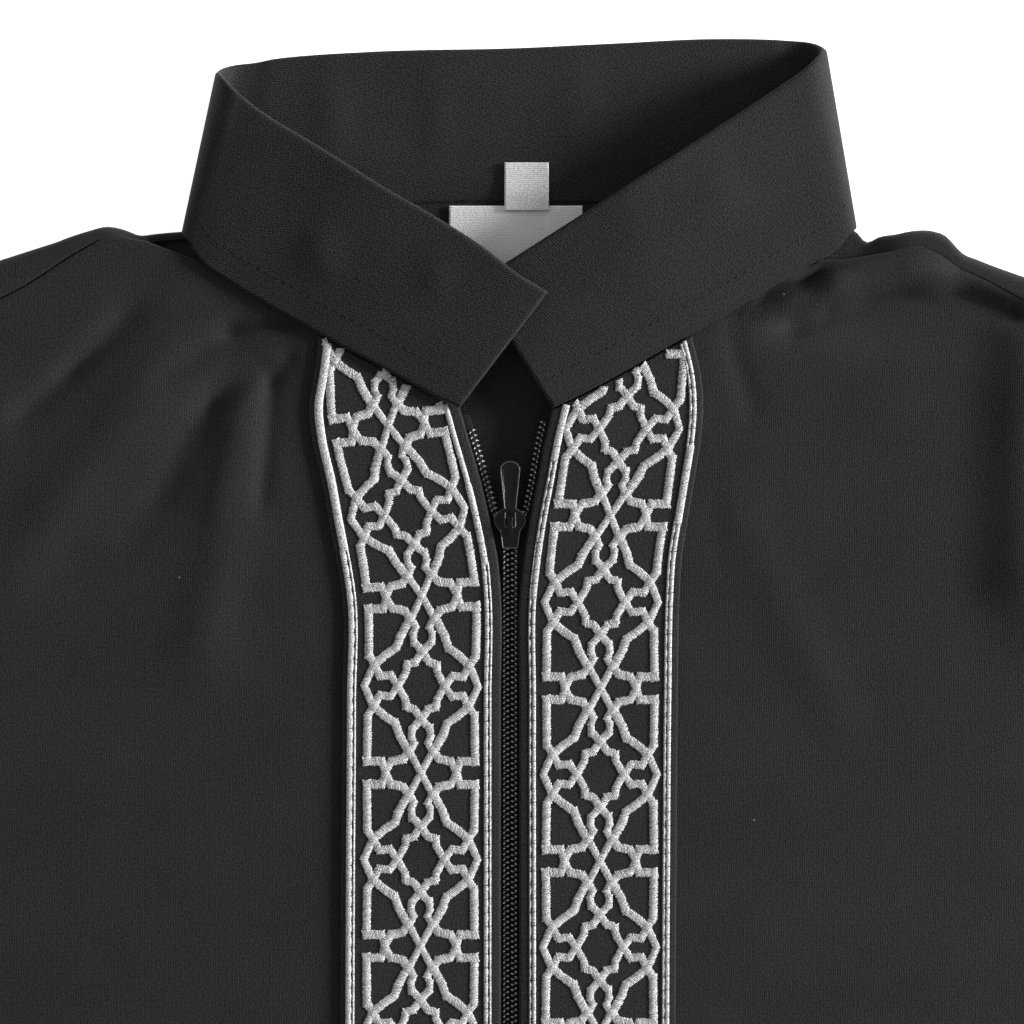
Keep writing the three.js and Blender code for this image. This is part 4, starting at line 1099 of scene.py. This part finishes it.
def makeCollar():
    rows = collarStations()
    middle = (rows[:, :3] + rows[:, 3:]) / 2
    run = np.concatenate([[0], np.cumsum(np.linalg.norm(np.diff(middle, axis=0), axis=1))])
    at = np.linspace(0, run[-1], collarSizes["stations"])
    dense = smoothRead(run, rows, at)
    height = np.linalg.norm(dense[:, 3:] - dense[:, :3], axis=1)
    beside = collarSizes["stitchBeside"]
    low = np.linspace(0, collarSizes["stitchUp"] - beside, 6, endpoint=False)
    near = np.linspace(-beside, beside, 11) + collarSizes["stitchUp"]
    above = np.linspace(0, 1, collarSizes["levels"])[1:]
    lowRise = np.broadcast_to(np.concatenate([low, near]), (len(at), len(low) + len(near)))
    highRise = near[-1] + above[None, :] * (height[:, None] - near[-1])
    rise = np.concatenate([lowRise, highRise], axis=1)
    grid = lerp(dense[:, None, :3], dense[:, None, 3:], (rise / height[:, None])[..., None])
    seamDistance = rise - collarSizes["stitchUp"]
    groove = -0.42 * np.exp(-(seamDistance / 0.6) ** 2)
    padding = 0.12 * np.clip(np.abs(seamDistance) / 4, 0, 1)
    front = (dense[:, 2] > 4)[:, None]
    relief = np.where(front, groove + padding, 0)
    for x, y, bump, wide, long, layer in collarBumps:
        swell = bump * np.exp(-((grid[..., 0] - x) / wide) ** 2 - ((grid[..., 1] - y) / long) ** 2)
        grid[..., 2] += np.where(front == (layer == "front"), swell, 0)
    # painted shade: the front layers darken near their seam edge, and the strip darkens around the right fold's outer
    # edge
    shade = np.where(front, np.clip(1 - rise / 1.3, 0, 1), 0) * 0.8
    rightmost = at[np.argmax(dense[:, 0] + dense[:, 3])]
    shade = np.maximum(shade, collarSizes["foldShade"] * np.exp(-((at - rightmost) / 6) ** 2)[:, None])
    grid = grid[:, ::-1]
    uv = np.stack([np.broadcast_to(at[:, None], rise.shape), rise], axis=-1)[:, ::-1]
    obj, surface = clothShell("collar_cloth", grid, collarSizes["wall"], "collar", uv, relief[:, ::-1],
                              shade[:, ::-1])
    return obj, dense, height, at


collar, collarDense, collarHeights, collarRun = makeCollar()


def collarLine(above, start, end, lift):  # a line on the collar's outer face, as far above its seam edge
    share = above / collarHeights
    line = lerp(collarDense[:, :3], collarDense[:, 3:], share[:, None])
    along = np.gradient(line, axis=0)
    across = collarDense[:, 3:] - collarDense[:, :3]
    normals = unit(np.cross(along, across))
    normals = np.where(normals[:, 2:3] < 0, -normals, normals)
    line = line + normals * lift
    keep = (collarRun >= start) & (collarRun <= end)
    return line[keep]


totalRun = collarRun[-1]
collarThread = {"long": 2.3, "spacing": 2.9, "thick": 0.2}
collarPaths = []
for start, end in ((3, 106), (totalRun - 112, totalRun - 3)):
    line = collarLine(collarSizes["stitchUp"], start, end, collarSizes["wall"] / 2 - 0.05)
    collarPaths.append(np.concatenate([line, np.full((len(line), 1), collarThread["thick"])], axis=1))
collarStitches = stitchAlong("collar_topstitch", collarPaths, "sewn", "thread", collarThread["spacing"],
                             collarThread["long"], collarThread["thick"], uneven=0.05, seed=4)
print("collar made")


# The band of cloth beside the zip, and what is sewn on it.
bandSizes = {"wall": 1.0, "columns": 22, "rows": 160, "edge": 2.9}
bandLift = cloth / 2 + seamGap + bandSizes["wall"]


def bandEdges(y, side):
    inner = braidX(sideNamed(side) + "Inner", y) - zipSizes["braidToFold"] + 0.2
    outer = braidX(sideNamed(side) + "Outer", y) + bandSizes["edge"]
    return inner, outer


def makeBand(side):
    over = np.linspace(0, 1, bandSizes["columns"] + 1)
    top = np.full(len(over), -60.0)
    for _ in range(8):
        inner, outer = bandEdges(top, side)
        top = collarSeamY(lerp(inner, outer, over), side) - seamGap - 0.3
    down = np.linspace(0, 1, bandSizes["rows"] + 1) ** 1.35
    y = lerp(top[None, :], bandEnd, down[:, None])
    inner, outer = bandEdges(y, side)
    x = side * lerp(inner, outer, over[None, :])
    z = frontHeight(x, y) + bandLift - bandSizes["wall"] / 2
    grid = np.stack([x, y, z], axis=-1)
    if side < 0:
        grid = grid[:, ::-1]
    uv = np.stack([grid[..., 0], grid[..., 1]], axis=-1)
    obj, surface = clothShell(f"band_{sideNamed(side)}_cloth", grid, bandSizes["wall"], "band", uv)
    return obj


bands = {sideNamed(side): makeBand(side) for side in (-1, 1)}

# The cords of each braid: where across the braid, how wide and high, and from and to which height.
braidCords = {
    "leftOuter": [(0.1, 2.6, 0.7, 0, -105), (-0.42, 1.9, 0.65, -105, bandEnd), (0.98, 0.75, 0.5, -105, bandEnd)],
    "leftInner": [(0.0, 1.6, 0.6, 0, -86), (0.0, 2.0, 0.6, -86, -109), (-0.35, 1.4, 0.55, -109, bandEnd),
                  (0.85, 0.7, 0.45, -109, bandEnd)],
    "rightInner": [(0.0, 2.2, 0.6, 0, -78), (-0.7, 0.85, 0.45, -78, -102), (0.42, 1.2, 0.55, -78, -102),
                   (0.2, 1.75, 0.6, -102, -119), (-0.95, 0.4, 0.35, -102, -119),
                   (-0.72, 0.7, 0.45, -119, bandEnd), (0.4, 1.15, 0.55, -119, bandEnd)],
    "rightOuter": [(-0.85, 0.8, 0.5, 0, -74), (0.25, 1.3, 0.6, 0, -74), (0.0, 2.3, 0.7, -74, -97),
                   (-0.85, 0.85, 0.5, -97, bandEnd), (0.25, 1.35, 0.6, -97, bandEnd)],
}


def surfacePath(x, y, lift):
    return np.stack([x, y, frontHeight(x, y) + bandLift + lift], axis=-1)


def makeBraids(side):
    parts = []
    for edge in ("Outer", "Inner"):
        name = sideNamed(side) + edge
        for offset, width, rise, fromY, toY in braidCords[name]:
            y = np.concatenate([np.arange(-28, -262, -0.5), np.arange(-262, bandEnd + 1.5, -1.0)])
            x = side * braidX(name, y)
            slope = np.gradient(x, y)
            normal = unit(np.stack([np.ones_like(slope), -slope], axis=-1))
            x = x + normal[:, 0] * offset
            y = y + normal[:, 1] * offset
            keep = (y < collarSeamY(np.abs(x), side) - 0.9) & (y <= fromY + 0.7) & (y >= toY - 0.7)
            path = surfacePath(x[keep], y[keep], -0.05)
            run = np.concatenate([[0], np.cumsum(np.linalg.norm(np.diff(path, axis=0), axis=1))])
            pinch = 1 - 0.22 * np.exp(-(((run + 2) % 4.1 - 2.05) / 0.3) ** 2)
            parts.append(laidCord(name, path, width, rise, "braid", across=pinch))
    return joinParts(f"braid_{sideNamed(side)}", parts, "braid")


braids = {sideNamed(side): makeBraids(side) for side in (-1, 1)}
print("bands and braids made")

# A quarter of the star lattice, in mm from a star's centre: across, along, and width of the line.
# Each line is one straight or gently bent stroke, so strokes meet in blunt corners.
latticePeriod = 51.9
latticeLines = [
    [(-0.3, 10.2, 2.7), (2.1, 6.9, 2.5)],
    [(1.5, 6.9, 2.5), (4.9, 6.2, 2.7)],
    [(4.5, 6.9, 2.5), (4.6, 4.2, 2.4), (7.3, -0.5, 2.4)],
    [(6.9, -0.3, 2.4), (9.6, 3.7, 2.4)],
    [(9.0, 3.1, 2.5), (12.9, 2.7, 2.6)],
    [(12.2, 2.2, 2.5), (14.5, 6.6, 2.6)],
    [(17.2, -0.3, 2.3), (14.0, 6.8, 2.5)],
    [(13.9, 5.8, 2.5), (16.2, 9.0, 2.6)],
    [(16.0, 8.0, 2.6), (16.2, 23.8, 2.6)],
    [(17.3, 22.5, 2.8), (11.2, 22.5, 2.8)],
    [(11.9, 21.6, 2.4), (10.6, 25.95, 2.6)],
    [(14.5, 5.9, 2.7), (11.0, 8.9, 2.7), (7.6, 11.2, 2.7)],
    [(8.0, 10.4, 2.7), (6.5, 14.6, 2.7)],
    [(7.0, 13.8, 2.7), (4.6, 18.0, 2.8), (3.4, 20.2, 2.7)],
    [(4.1, 18.4, 2.4), (0, 25.95, 2.2)],
    [(3.2, 18.8, 2.7), (5.5, 22.0, 2.7)],
    [(4.9, 21.7, 2.8), (9.2, 22.6, 2.8)],
    [(8.7, 21.9, 2.5), (10.8, 25.95, 2.5)],
    [(-0.5, 9.4, 2.7), (2.8, 12.9, 2.4)],
    [(2.6, 11.6, 2.3), (2.9, 15.8, 2.2)],
    [(3.1, 14.6, 2.2), (1.9, 17.4, 2.3)],
    [(1.7, 16.4, 2.3), (3.9, 20.2, 2.5)],
]
starPlaces = {
    "left": [
        {"phase": -51.9, "y": -145.8, "shift": -0.5},
        {"phase": -25.95, "y": -118.7, "shift": -0.6},
        {"phase": 0, "y": -94, "shift": -0.5},
        {"phase": 25.95, "y": -67.8, "shift": -0.9},
        {"phase": 51.9, "y": -42, "shift": -1},
    ],
    "right": [
        {"phase": -103.8, "y": -172.2, "shift": 0},
        {"phase": -51.9, "y": -120.6, "shift": 0},
        {"phase": -25.95, "y": -94.6, "shift": -0.3},
        {"phase": 0, "y": -68.7, "shift": -1.2},
        {"phase": 51.9, "y": -17, "shift": -1.2},
    ],
}
latticeLean = {"left": 0.5, "right": 0.0}
latticeThread = {"spacing": 0.46, "thread": 0.5, "rise": 0.46, "slant": 20, "uneven": 0.08, "fuller": 1.1}


def latticePoint(across, phase, side):
    name = sideNamed(side)
    places = starPlaces[name]
    first = places[0]
    y = np.interp(phase, [first["phase"] - 520] + [row["phase"] for row in places],
                  [first["y"] - 520] + [row["y"] for row in places])
    shift = np.interp(phase, [row["phase"] for row in places], [row["shift"] for row in places])
    step = 0.5
    middle = (braidX(name + "Outer", y) + braidX(name + "Inner", y)) / 2
    lower = (braidX(name + "Outer", y - step) + braidX(name + "Inner", y - step)) / 2
    slope = (middle - lower) / step * latticeLean[name]
    return side * (middle + shift + across), y - across * slope


def makeLattice(side):
    name = sideNamed(side)
    paths = []
    strokeEnd = 0.25
    for cell in range(-1, 10):
        for wayUp in (1, -1):
            for wayOver in (1, -1):
                for line in latticeLines:
                    keys = np.array(line, float)
                    length = np.concatenate([[0], np.cumsum(np.hypot(*np.diff(keys[:, :2], axis=0).T))])
                    at = np.linspace(strokeEnd, length[-1] - strokeEnd, max(int(length[-1] / 0.8), 3))
                    across = np.interp(at, length, keys[:, 0]) * wayOver
                    phase = np.interp(at, length, keys[:, 1]) * wayUp - cell * latticePeriod
                    width = np.interp(at, length, keys[:, 2]) * latticeThread["fuller"]
                    x, y = latticePoint(across, phase, side)
                    keep = (y < collarSeamY(np.abs(x), side) - 1) & (y > bandEnd + 4)
                    if keep.sum() < 2:
                        continue
                    path = surfacePath(x[keep], y[keep], -0.03)
                    paths.append(np.concatenate([path, (width[keep] / 2)[:, None]], axis=1))
    return stitchAlong(f"lattice_{name}", paths, "satin", "embroidery", latticeThread["spacing"],
                       latticeThread["thread"], latticeThread["rise"], latticeThread["slant"],
                       latticeThread["uneven"], seed=7 + side)


lattices = {sideNamed(side): makeLattice(side) for side in (-1, 1)}
print("lattice made")


# Black stitches that hold the braids: ticks across each cord, and a line in the groove.
grooveAt = {"leftOuter": 0.6, "leftInner": 0.45, "rightInner": -0.3, "rightOuter": -0.42}
tickStart = {"leftOuter": -101, "leftInner": -94.7, "rightInner": -74, "rightOuter": -44}
tickRise = 0.52


def makeBraidStitches(side):
    ticks = []
    grooves = []
    for edge in ("Outer", "Inner"):
        name = sideNamed(side) + edge
        y = np.arange(tickStart[name], bandEnd + 3, -4.1)
        for spot in y:
            x = side * float(braidX(name, spot))
            if spot > float(collarSeamY(abs(x), side)) - 2:
                continue
            across = np.linspace(-1.5, 1.5, 7)
            path = surfacePath(x + across, np.full(7, spot) + 0.12 * across, 0)
            path[:, 2] += tickRise * np.sqrt(np.clip(1 - (across / 1.9) ** 2, 0, 1))
            ticks.append(np.concatenate([path, np.full((7, 1), 0.12)], axis=1))
        y = np.arange(-34, bandEnd + 3, -1.0)
        x = side * braidX(name, y) + grooveAt[name]
        keep = (y < collarSeamY(np.abs(x), side) - 2) & (y < tickStart[name] - 3)
        path = surfacePath(x[keep], y[keep], 0.3)
        grooves.append(np.concatenate([path, np.full((keep.sum(), 1), 0.16)], axis=1))
    first = stitchAlong(f"braid_ticks_{sideNamed(side)}", ticks, "sewn", "thread", 0.78, 0.95, 0.12, uneven=0.04)
    second = stitchAlong(f"braid_seam_{sideNamed(side)}", grooves, "sewn", "thread", 4.1, 3.4, 0.16, uneven=0.03)
    return first, second


braidStitches = {sideNamed(side): makeBraidStitches(side) for side in (-1, 1)}
print("braid stitches made")

# The zip: two woven tapes, each with a coil of nylon turns along its inner edge.
coilSizes = {"pitch": 1.62, "halfWidth": 1.18, "high": 4.9, "low": 2.7, "thick": 0.8, "slant": 10,
             "leftFirst": -69, "rightFirst": -66.57}
coilSewing = {"out": (0.5, 1.65), "long": 0.78, "thick": 0.24, "slant": 50}


def coilX(y, side):
    closed = seamGap / 2
    opened = foldedEdgeX(y, side) - (zipSizes["slot"] - closed)
    share = ease((y - zipSizes["foot"]) / (zipSizes["nose"] - zipSizes["foot"]))
    return lerp(closed, np.maximum(opened, closed), share)


def makeZipTape(side):
    y = np.concatenate([np.linspace(zipSizes["top"], -130, 60, endpoint=False), np.linspace(-130, zipSizes["end"], 90)])
    over = np.linspace(0, 1, 9)
    inner = coilX(y, side) + 0.25
    x = side * lerp(inner[:, None], (coilX(y, side) + zipSizes["tape"])[:, None], over[None, :])
    grid = np.stack([x, np.broadcast_to(y[:, None], x.shape), np.full(x.shape, 3.45)], axis=-1)
    if side < 0:
        grid = grid[:, ::-1]
    uv = np.stack([grid[..., 0], grid[..., 1]], axis=-1)
    obj, surface = clothShell(f"zip_tape_{sideNamed(side)}", grid, 0.5, "zip", uv)
    return obj


def makeCoil(side):
    first = coilSizes["leftFirst"] if side < 0 else coilSizes["rightFirst"]
    y = np.arange(first, zipSizes["end"] + 2, -0.6)
    x = side * (coilX(y, side) + coilSizes["halfWidth"] - 0.12)
    middle = (coilSizes["high"] + coilSizes["low"]) / 2
    path = np.stack([x, y, np.full_like(y, middle), np.full_like(y, coilSizes["halfWidth"])], axis=-1)
    return stitchAlong(f"coil_{sideNamed(side)}", [path], "coil", "coil", coilSizes["pitch"], coilSizes["thick"],
                       (coilSizes["high"] - coilSizes["low"]) / 2 / 1.1, coilSizes["slant"] * side, uneven=0.03,
                       seed=21 + side)


def makeCoilThread(side):  # two rows of sewing that hold the coil on its tape; their pale colour is a painted highlight standing in for the coil's glints
    paths = []
    first = coilSizes["leftFirst"] if side < 0 else coilSizes["rightFirst"]
    for place, out in enumerate(coilSewing["out"]):
        y = np.arange(first - place * coilSizes["pitch"] / 2, zipSizes["end"] + 3, -1.0)
        x = side * (coilX(y, side) + out)
        thick = coilSewing["thick"]
        path = np.stack([x, y, np.full_like(y, coilSizes["high"] - 0.02), np.full_like(y, thick)], axis=-1)
        paths.append(path)
    return stitchAlong(f"coil_sewing_{sideNamed(side)}", paths, "sewn", "glint", coilSizes["pitch"],
                       coilSewing["long"], thick, coilSewing["slant"] * side, uneven=0.05, seed=31 + side)


zipTapes = {sideNamed(side): makeZipTape(side) for side in (-1, 1)}
coils = {sideNamed(side): makeCoil(side) for side in (-1, 1)}
coilThreads = {sideNamed(side): makeCoilThread(side) for side in (-1, 1)}
print("zip made")


# The slider and its pull keep their solids' shapes, with all their edges rounded.
def roundedCopy(nodeName, name, width, material):
    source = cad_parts[nodeName]
    mesh = source.data.copy()
    mesh.name = name
    work = bmesh.new()
    work.from_mesh(mesh)
    bmesh.ops.remove_doubles(work, verts=work.verts, dist=0.000005)
    bmesh.ops.dissolve_limit(work, angle_limit=math.radians(2), verts=work.verts, edges=work.edges)
    work.to_mesh(mesh)
    work.free()
    mesh.materials.clear()
    mesh.materials.append(materials[material])
    obj = bpy.data.objects.new(name, mesh)
    bpy.context.scene.collection.objects.link(obj)
    soften = obj.modifiers.new("round edges", "BEVEL")
    soften.width = width * 0.001
    soften.segments = 3
    soften.limit_method = "ANGLE"
    soften.angle_limit = math.radians(35)
    soften.harden_normals = False
    graph = bpy.context.evaluated_depsgraph_get()
    finished = bpy.data.meshes.new_from_object(obj.evaluated_get(graph), depsgraph=graph)
    obj.modifiers.clear()
    finished.polygons.foreach_set("use_smooth", np.ones(len(finished.polygons), bool))
    obj.data = finished
    made[name] = obj
    return obj


slider = roundedCopy("zip_slider", "slider_body", 0.16, "slider")
pull = roundedCopy("zip_pull", "pull_tab", 0.16, "slider")

# Raised rims along the edges of the slider and its pull, in paler lacquer: a painted highlight along the edges.
rimSizes = {"wide": 0.42, "rise": 0.13, "inset": 0.2, "sunk": 0.05, "pivotY": -97.9, "pivotZ": 6.9}


def makeRims(name, lines):
    parts = []
    for line in lines:
        keys = np.array(line, float)
        run = np.concatenate([[0], np.cumsum(np.linalg.norm(np.diff(keys, axis=0), axis=1))])
        at = np.linspace(0, run[-1], max(int(run[-1] / 0.25), 4))
        path = np.stack([np.interp(at, run, keys[:, axis]) for axis in range(3)], axis=-1)
        parts.append(laidCord(name, path, rimSizes["wide"], rimSizes["rise"], "rim", ribDepth=0.0))
    return joinParts(name, parts, "rim")


def pullRimLines():
    tall = rimSizes["pivotZ"] + 0.7 - rimSizes["sunk"]
    low = rimSizes["pivotZ"] + 0.5 - rimSizes["sunk"]
    inset = rimSizes["inset"]
    head = [(1.83 - inset, 5.2), (3.03 - inset, 17)]
    for step in range(1, 12):
        turn = math.pi * step / 12
        head.append(((3.03 - inset) * math.cos(turn), 17 + (2.6 - inset) * math.sin(turn)))
    head += [(inset - 3.03, 17), (inset - 1.83, 5.2)]
    foot = [(1.75 - inset, 4.2), (1.75 - inset, -0.25), (inset - 1.75, -0.25), (inset - 1.75, 4.2)]
    return [[(x, y + rimSizes["pivotY"], tall) for x, y in head], [(x, y + rimSizes["pivotY"], low) for x, y in foot]]


def sliderRimLines():
    top = 6.1 - rimSizes["sunk"]
    inset = rimSizes["inset"]
    head = []
    for step in range(25):
        turn = -0.22 * math.pi + 1.44 * math.pi * step / 24
        head.append(((4.8 - inset) * math.cos(turn), -96.1 + (3.84 - inset) * math.sin(turn), top))
    shoulderY = -96.1 - 3.84 * 0.9
    body = [(inset - 3, shoulderY, top), (inset - 2.4, inset - 104.6, top), (2.4 - inset, inset - 104.6, top),
            (3 - inset, shoulderY, top)]
    return [head + body + head[:1]]


pullRims = makeRims("pull_rims", pullRimLines())
sliderRims = makeRims("slider_rims", sliderRimLines())
print("slider made")

# The neck label and the folded size tape above it.
labelSizes = {"left": -18.4, "right": 21.9, "top": -1.2, "bottom": -19.5, "wall": 1.0}
tapeSizes = {"left": -1.7, "right": 11.7, "top": 11.8, "bottom": -2.9, "wall": 1.0}


def makeLabel():
    x = np.linspace(labelSizes["left"], labelSizes["right"], 61)
    y = np.linspace(labelSizes["top"], labelSizes["bottom"], 31)
    over, along = np.meshgrid(x, y)
    base = cloth + seamGap + labelSizes["wall"] / 2
    grid = np.stack([over, along, np.full_like(over, base)], axis=-1)
    fromTop = labelSizes["top"] - along
    ribs = 0.1 * np.sin(2 * math.pi * over / 0.66) * (fromTop < 3.3)
    seam = -0.18 * np.exp(-((fromTop - 3.5) / 0.3) ** 2)
    obj, surface = clothShell("label_cloth", grid, labelSizes["wall"], "label", grid[..., :2], ribs + seam)
    return obj


def makeSizeTape():
    x = np.linspace(tapeSizes["left"], tapeSizes["right"], 25)
    y = np.linspace(tapeSizes["top"], tapeSizes["bottom"], 61)
    over, along = np.meshgrid(x, y)
    low = cloth + seamGap + labelSizes["wall"] + seamGap + 0.5
    high = collarSizes["wall"] + seamGap + 0.5
    step = (tapeSizes["top"] - tapeSizes["bottom"]) / 4
    share = ease(((along - tapeSizes["bottom"]) / step - 1) / 2)
    grid = np.stack([over, along, lerp(low, high, share)], axis=-1)
    ribs = 0.07 * np.sin(2 * math.pi * along / 0.9)
    fold = 0.25 * np.exp(-((tapeSizes["top"] - along) / 0.8) ** 2)
    obj, surface = clothShell("size_tape_cloth", grid, tapeSizes["wall"], "tape", grid[..., :2], ribs + fold * 0)
    return obj


label = makeLabel()
sizeTape = makeSizeTape()
print("labels made")

# What each piece stands for, its cut and what it rests on.
allCloth = {
    "back_cloth": ("back", "cloth", (0.8, 1.43), 0.926, "laid", []),
    "front_left_cloth": ("front_left", "cloth", (0.4, 1.417), 0.457, "laid", ["back_cloth"]),
    "front_right_cloth": ("front_right", "cloth", (0.4, 1.417), 0.457, "laid", ["back_cloth"]),
    "sleeve_left_cloth": ("sleeve_left", "cloth", (0.43, 0.59), 0.163, "laid", []),
    "sleeve_right_cloth": ("sleeve_right", "cloth", (0.43, 0.59), 0.163, "laid", []),
    "collar_cloth": ("collar", "collar", (0.052, 0.46), 0.0213, "folded", ["back_cloth"]),
    "band_left_cloth": ("band_left", "band", (0.057, 0.484), 0.0228, "laid", ["front_left_cloth"]),
    "band_right_cloth": ("band_right", "band", (0.057, 0.484), 0.0225, "laid", ["front_right_cloth"]),
    "zip_tape_left": ("zip_left", "zip", (0.0138, 0.441), None, "laid", ["back_cloth"]),
    "zip_tape_right": ("zip_right", "zip", (0.0138, 0.441), None, "laid", ["back_cloth"]),
    "label_cloth": ("neck_label", "label", (0.0403, 0.0183), None, "laid", ["back_cloth"]),
    "size_tape_cloth": ("size_tape", "size_tape", (0.0134, 0.0147), None, "folded", ["label_cloth"]),
}

for name, obj in made.items():
    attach(obj, "pull" if name in ("pull_tab", "pull_rims") else "garment")
for name, (node, slot, flat, area, held, rests) in allCloth.items():
    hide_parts(node)
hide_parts("zip_slider")
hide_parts("zip_pull")

# White table, one large low lamp from the right, one broad soft lamp above, and a pale room.
studio = {"floorZ": -0.0003, "floorGlow": 0.85, "overhead": 0.24, "horizonRight": 0.95, "horizonLeft": 0.3,
          "key": 760.0, "top": 3.0}


def makeFloor():
    mesh = bpy.data.meshes.new("table")
    size = 6.0
    corners = [(-size, -size, studio["floorZ"]), (size, -size, studio["floorZ"]), (size, size, studio["floorZ"]),
               (-size, size, studio["floorZ"])]
    mesh.from_pydata(corners, [], [(0, 1, 2, 3)])
    material, tree, shader = newMaterial("white table", 0.9, 0.1)
    where = addNode(tree, "ShaderNodeTexCoord").outputs["Object"]
    soft = addNode(tree, "ShaderNodeTexNoise", {"noise_dimensions": "3D"}, Vector=where, Scale=2.0)
    tree.links.new(mixColours(tree, soft.outputs[0], grey(0.86), grey(0.9)), shader.inputs["Base Color"])
    shader.inputs["Emission Color"].default_value = (1, 1, 1, 1)
    shader.inputs["Emission Strength"].default_value = studio["floorGlow"]
    mesh.materials.append(material)
    floor = bpy.data.objects.new("table", mesh)
    bpy.context.scene.collection.objects.link(floor)


def addLamp(name, power, size, spot, target):
    data = bpy.data.lights.new(name, "AREA")
    data.energy = power
    data.shape = "RECTANGLE"
    data.size = size[0]
    data.size_y = size[1]
    lamp = bpy.data.objects.new(name, data)
    lamp.location = spot
    direction = np.array(target) - np.array(spot)
    lamp.rotation_euler = Vector(direction.tolist()).to_track_quat("-Z", "Y").to_euler()
    bpy.context.scene.collection.objects.link(lamp)


makeFloor()
chest = (0.0, 0.6, 0.0)
addLamp("low lamp", studio["key"], (1.8, 1.4), (5.7, 1.5, 1.62), chest)
addLamp("top lamp", studio["top"], (1.8, 1.8), (-1.2, 1.4, 1.7), chest)
world = bpy.data.worlds.new("pale room")
world.use_nodes = True
air = world.node_tree
height = addNode(air, "ShaderNodeSeparateXYZ", Vector=addNode(air, "ShaderNodeTexCoord").outputs["Generated"])
fall = addNode(air, "ShaderNodeMapRange", Value=height.outputs[2])
fall.inputs["From Min"].default_value = 0.1
fall.inputs["From Max"].default_value = 0.8
around = addNode(air, "ShaderNodeMapRange", Value=height.outputs[0])
for label, value in (("From Min", -1.0), ("To Min", studio["horizonLeft"]), ("To Max", studio["horizonRight"])):
    around.inputs[label].default_value = value
toTop = calc(air, "SUBTRACT", studio["overhead"], around.outputs[0])
shine = calc(air, "ADD", calc(air, "MULTIPLY", fall.outputs[0], toTop), around.outputs[0])
air.links.new(shine, air.nodes["Background"].inputs["Strength"])
air.nodes["Background"].inputs["Color"].default_value = (1, 1, 1, 1)
bpy.context.scene.world = world
bpy.context.scene.view_settings.view_transform = "Standard"

# The camera looks straight down at the collar and the chest.
view = {"lens": 85, "sensor": 36, "middleX": 0.6, "middleY": -93.6, "wide": 307.2, "focusZ": 6}
cameraData = bpy.data.cameras.new("camera")
cameraData.lens = view["lens"]
cameraData.sensor_width = view["sensor"]
cameraData.clip_end = 20
camera = bpy.data.objects.new("camera", cameraData)
distance = view["wide"] * view["lens"] / view["sensor"]
camera.location = (view["middleX"] * 0.001, (view["middleY"] + neckY) * 0.001, (distance + view["focusZ"]) * 0.001)
bpy.context.scene.collection.objects.link(camera)
bpy.context.scene.camera = camera

triangles = 0
for obj in made.values():
    obj.data.calc_loop_triangles()
    count = len(obj.data.loop_triangles)
    triangles += count
    print(obj.name, count)
print("triangles:", triangles)
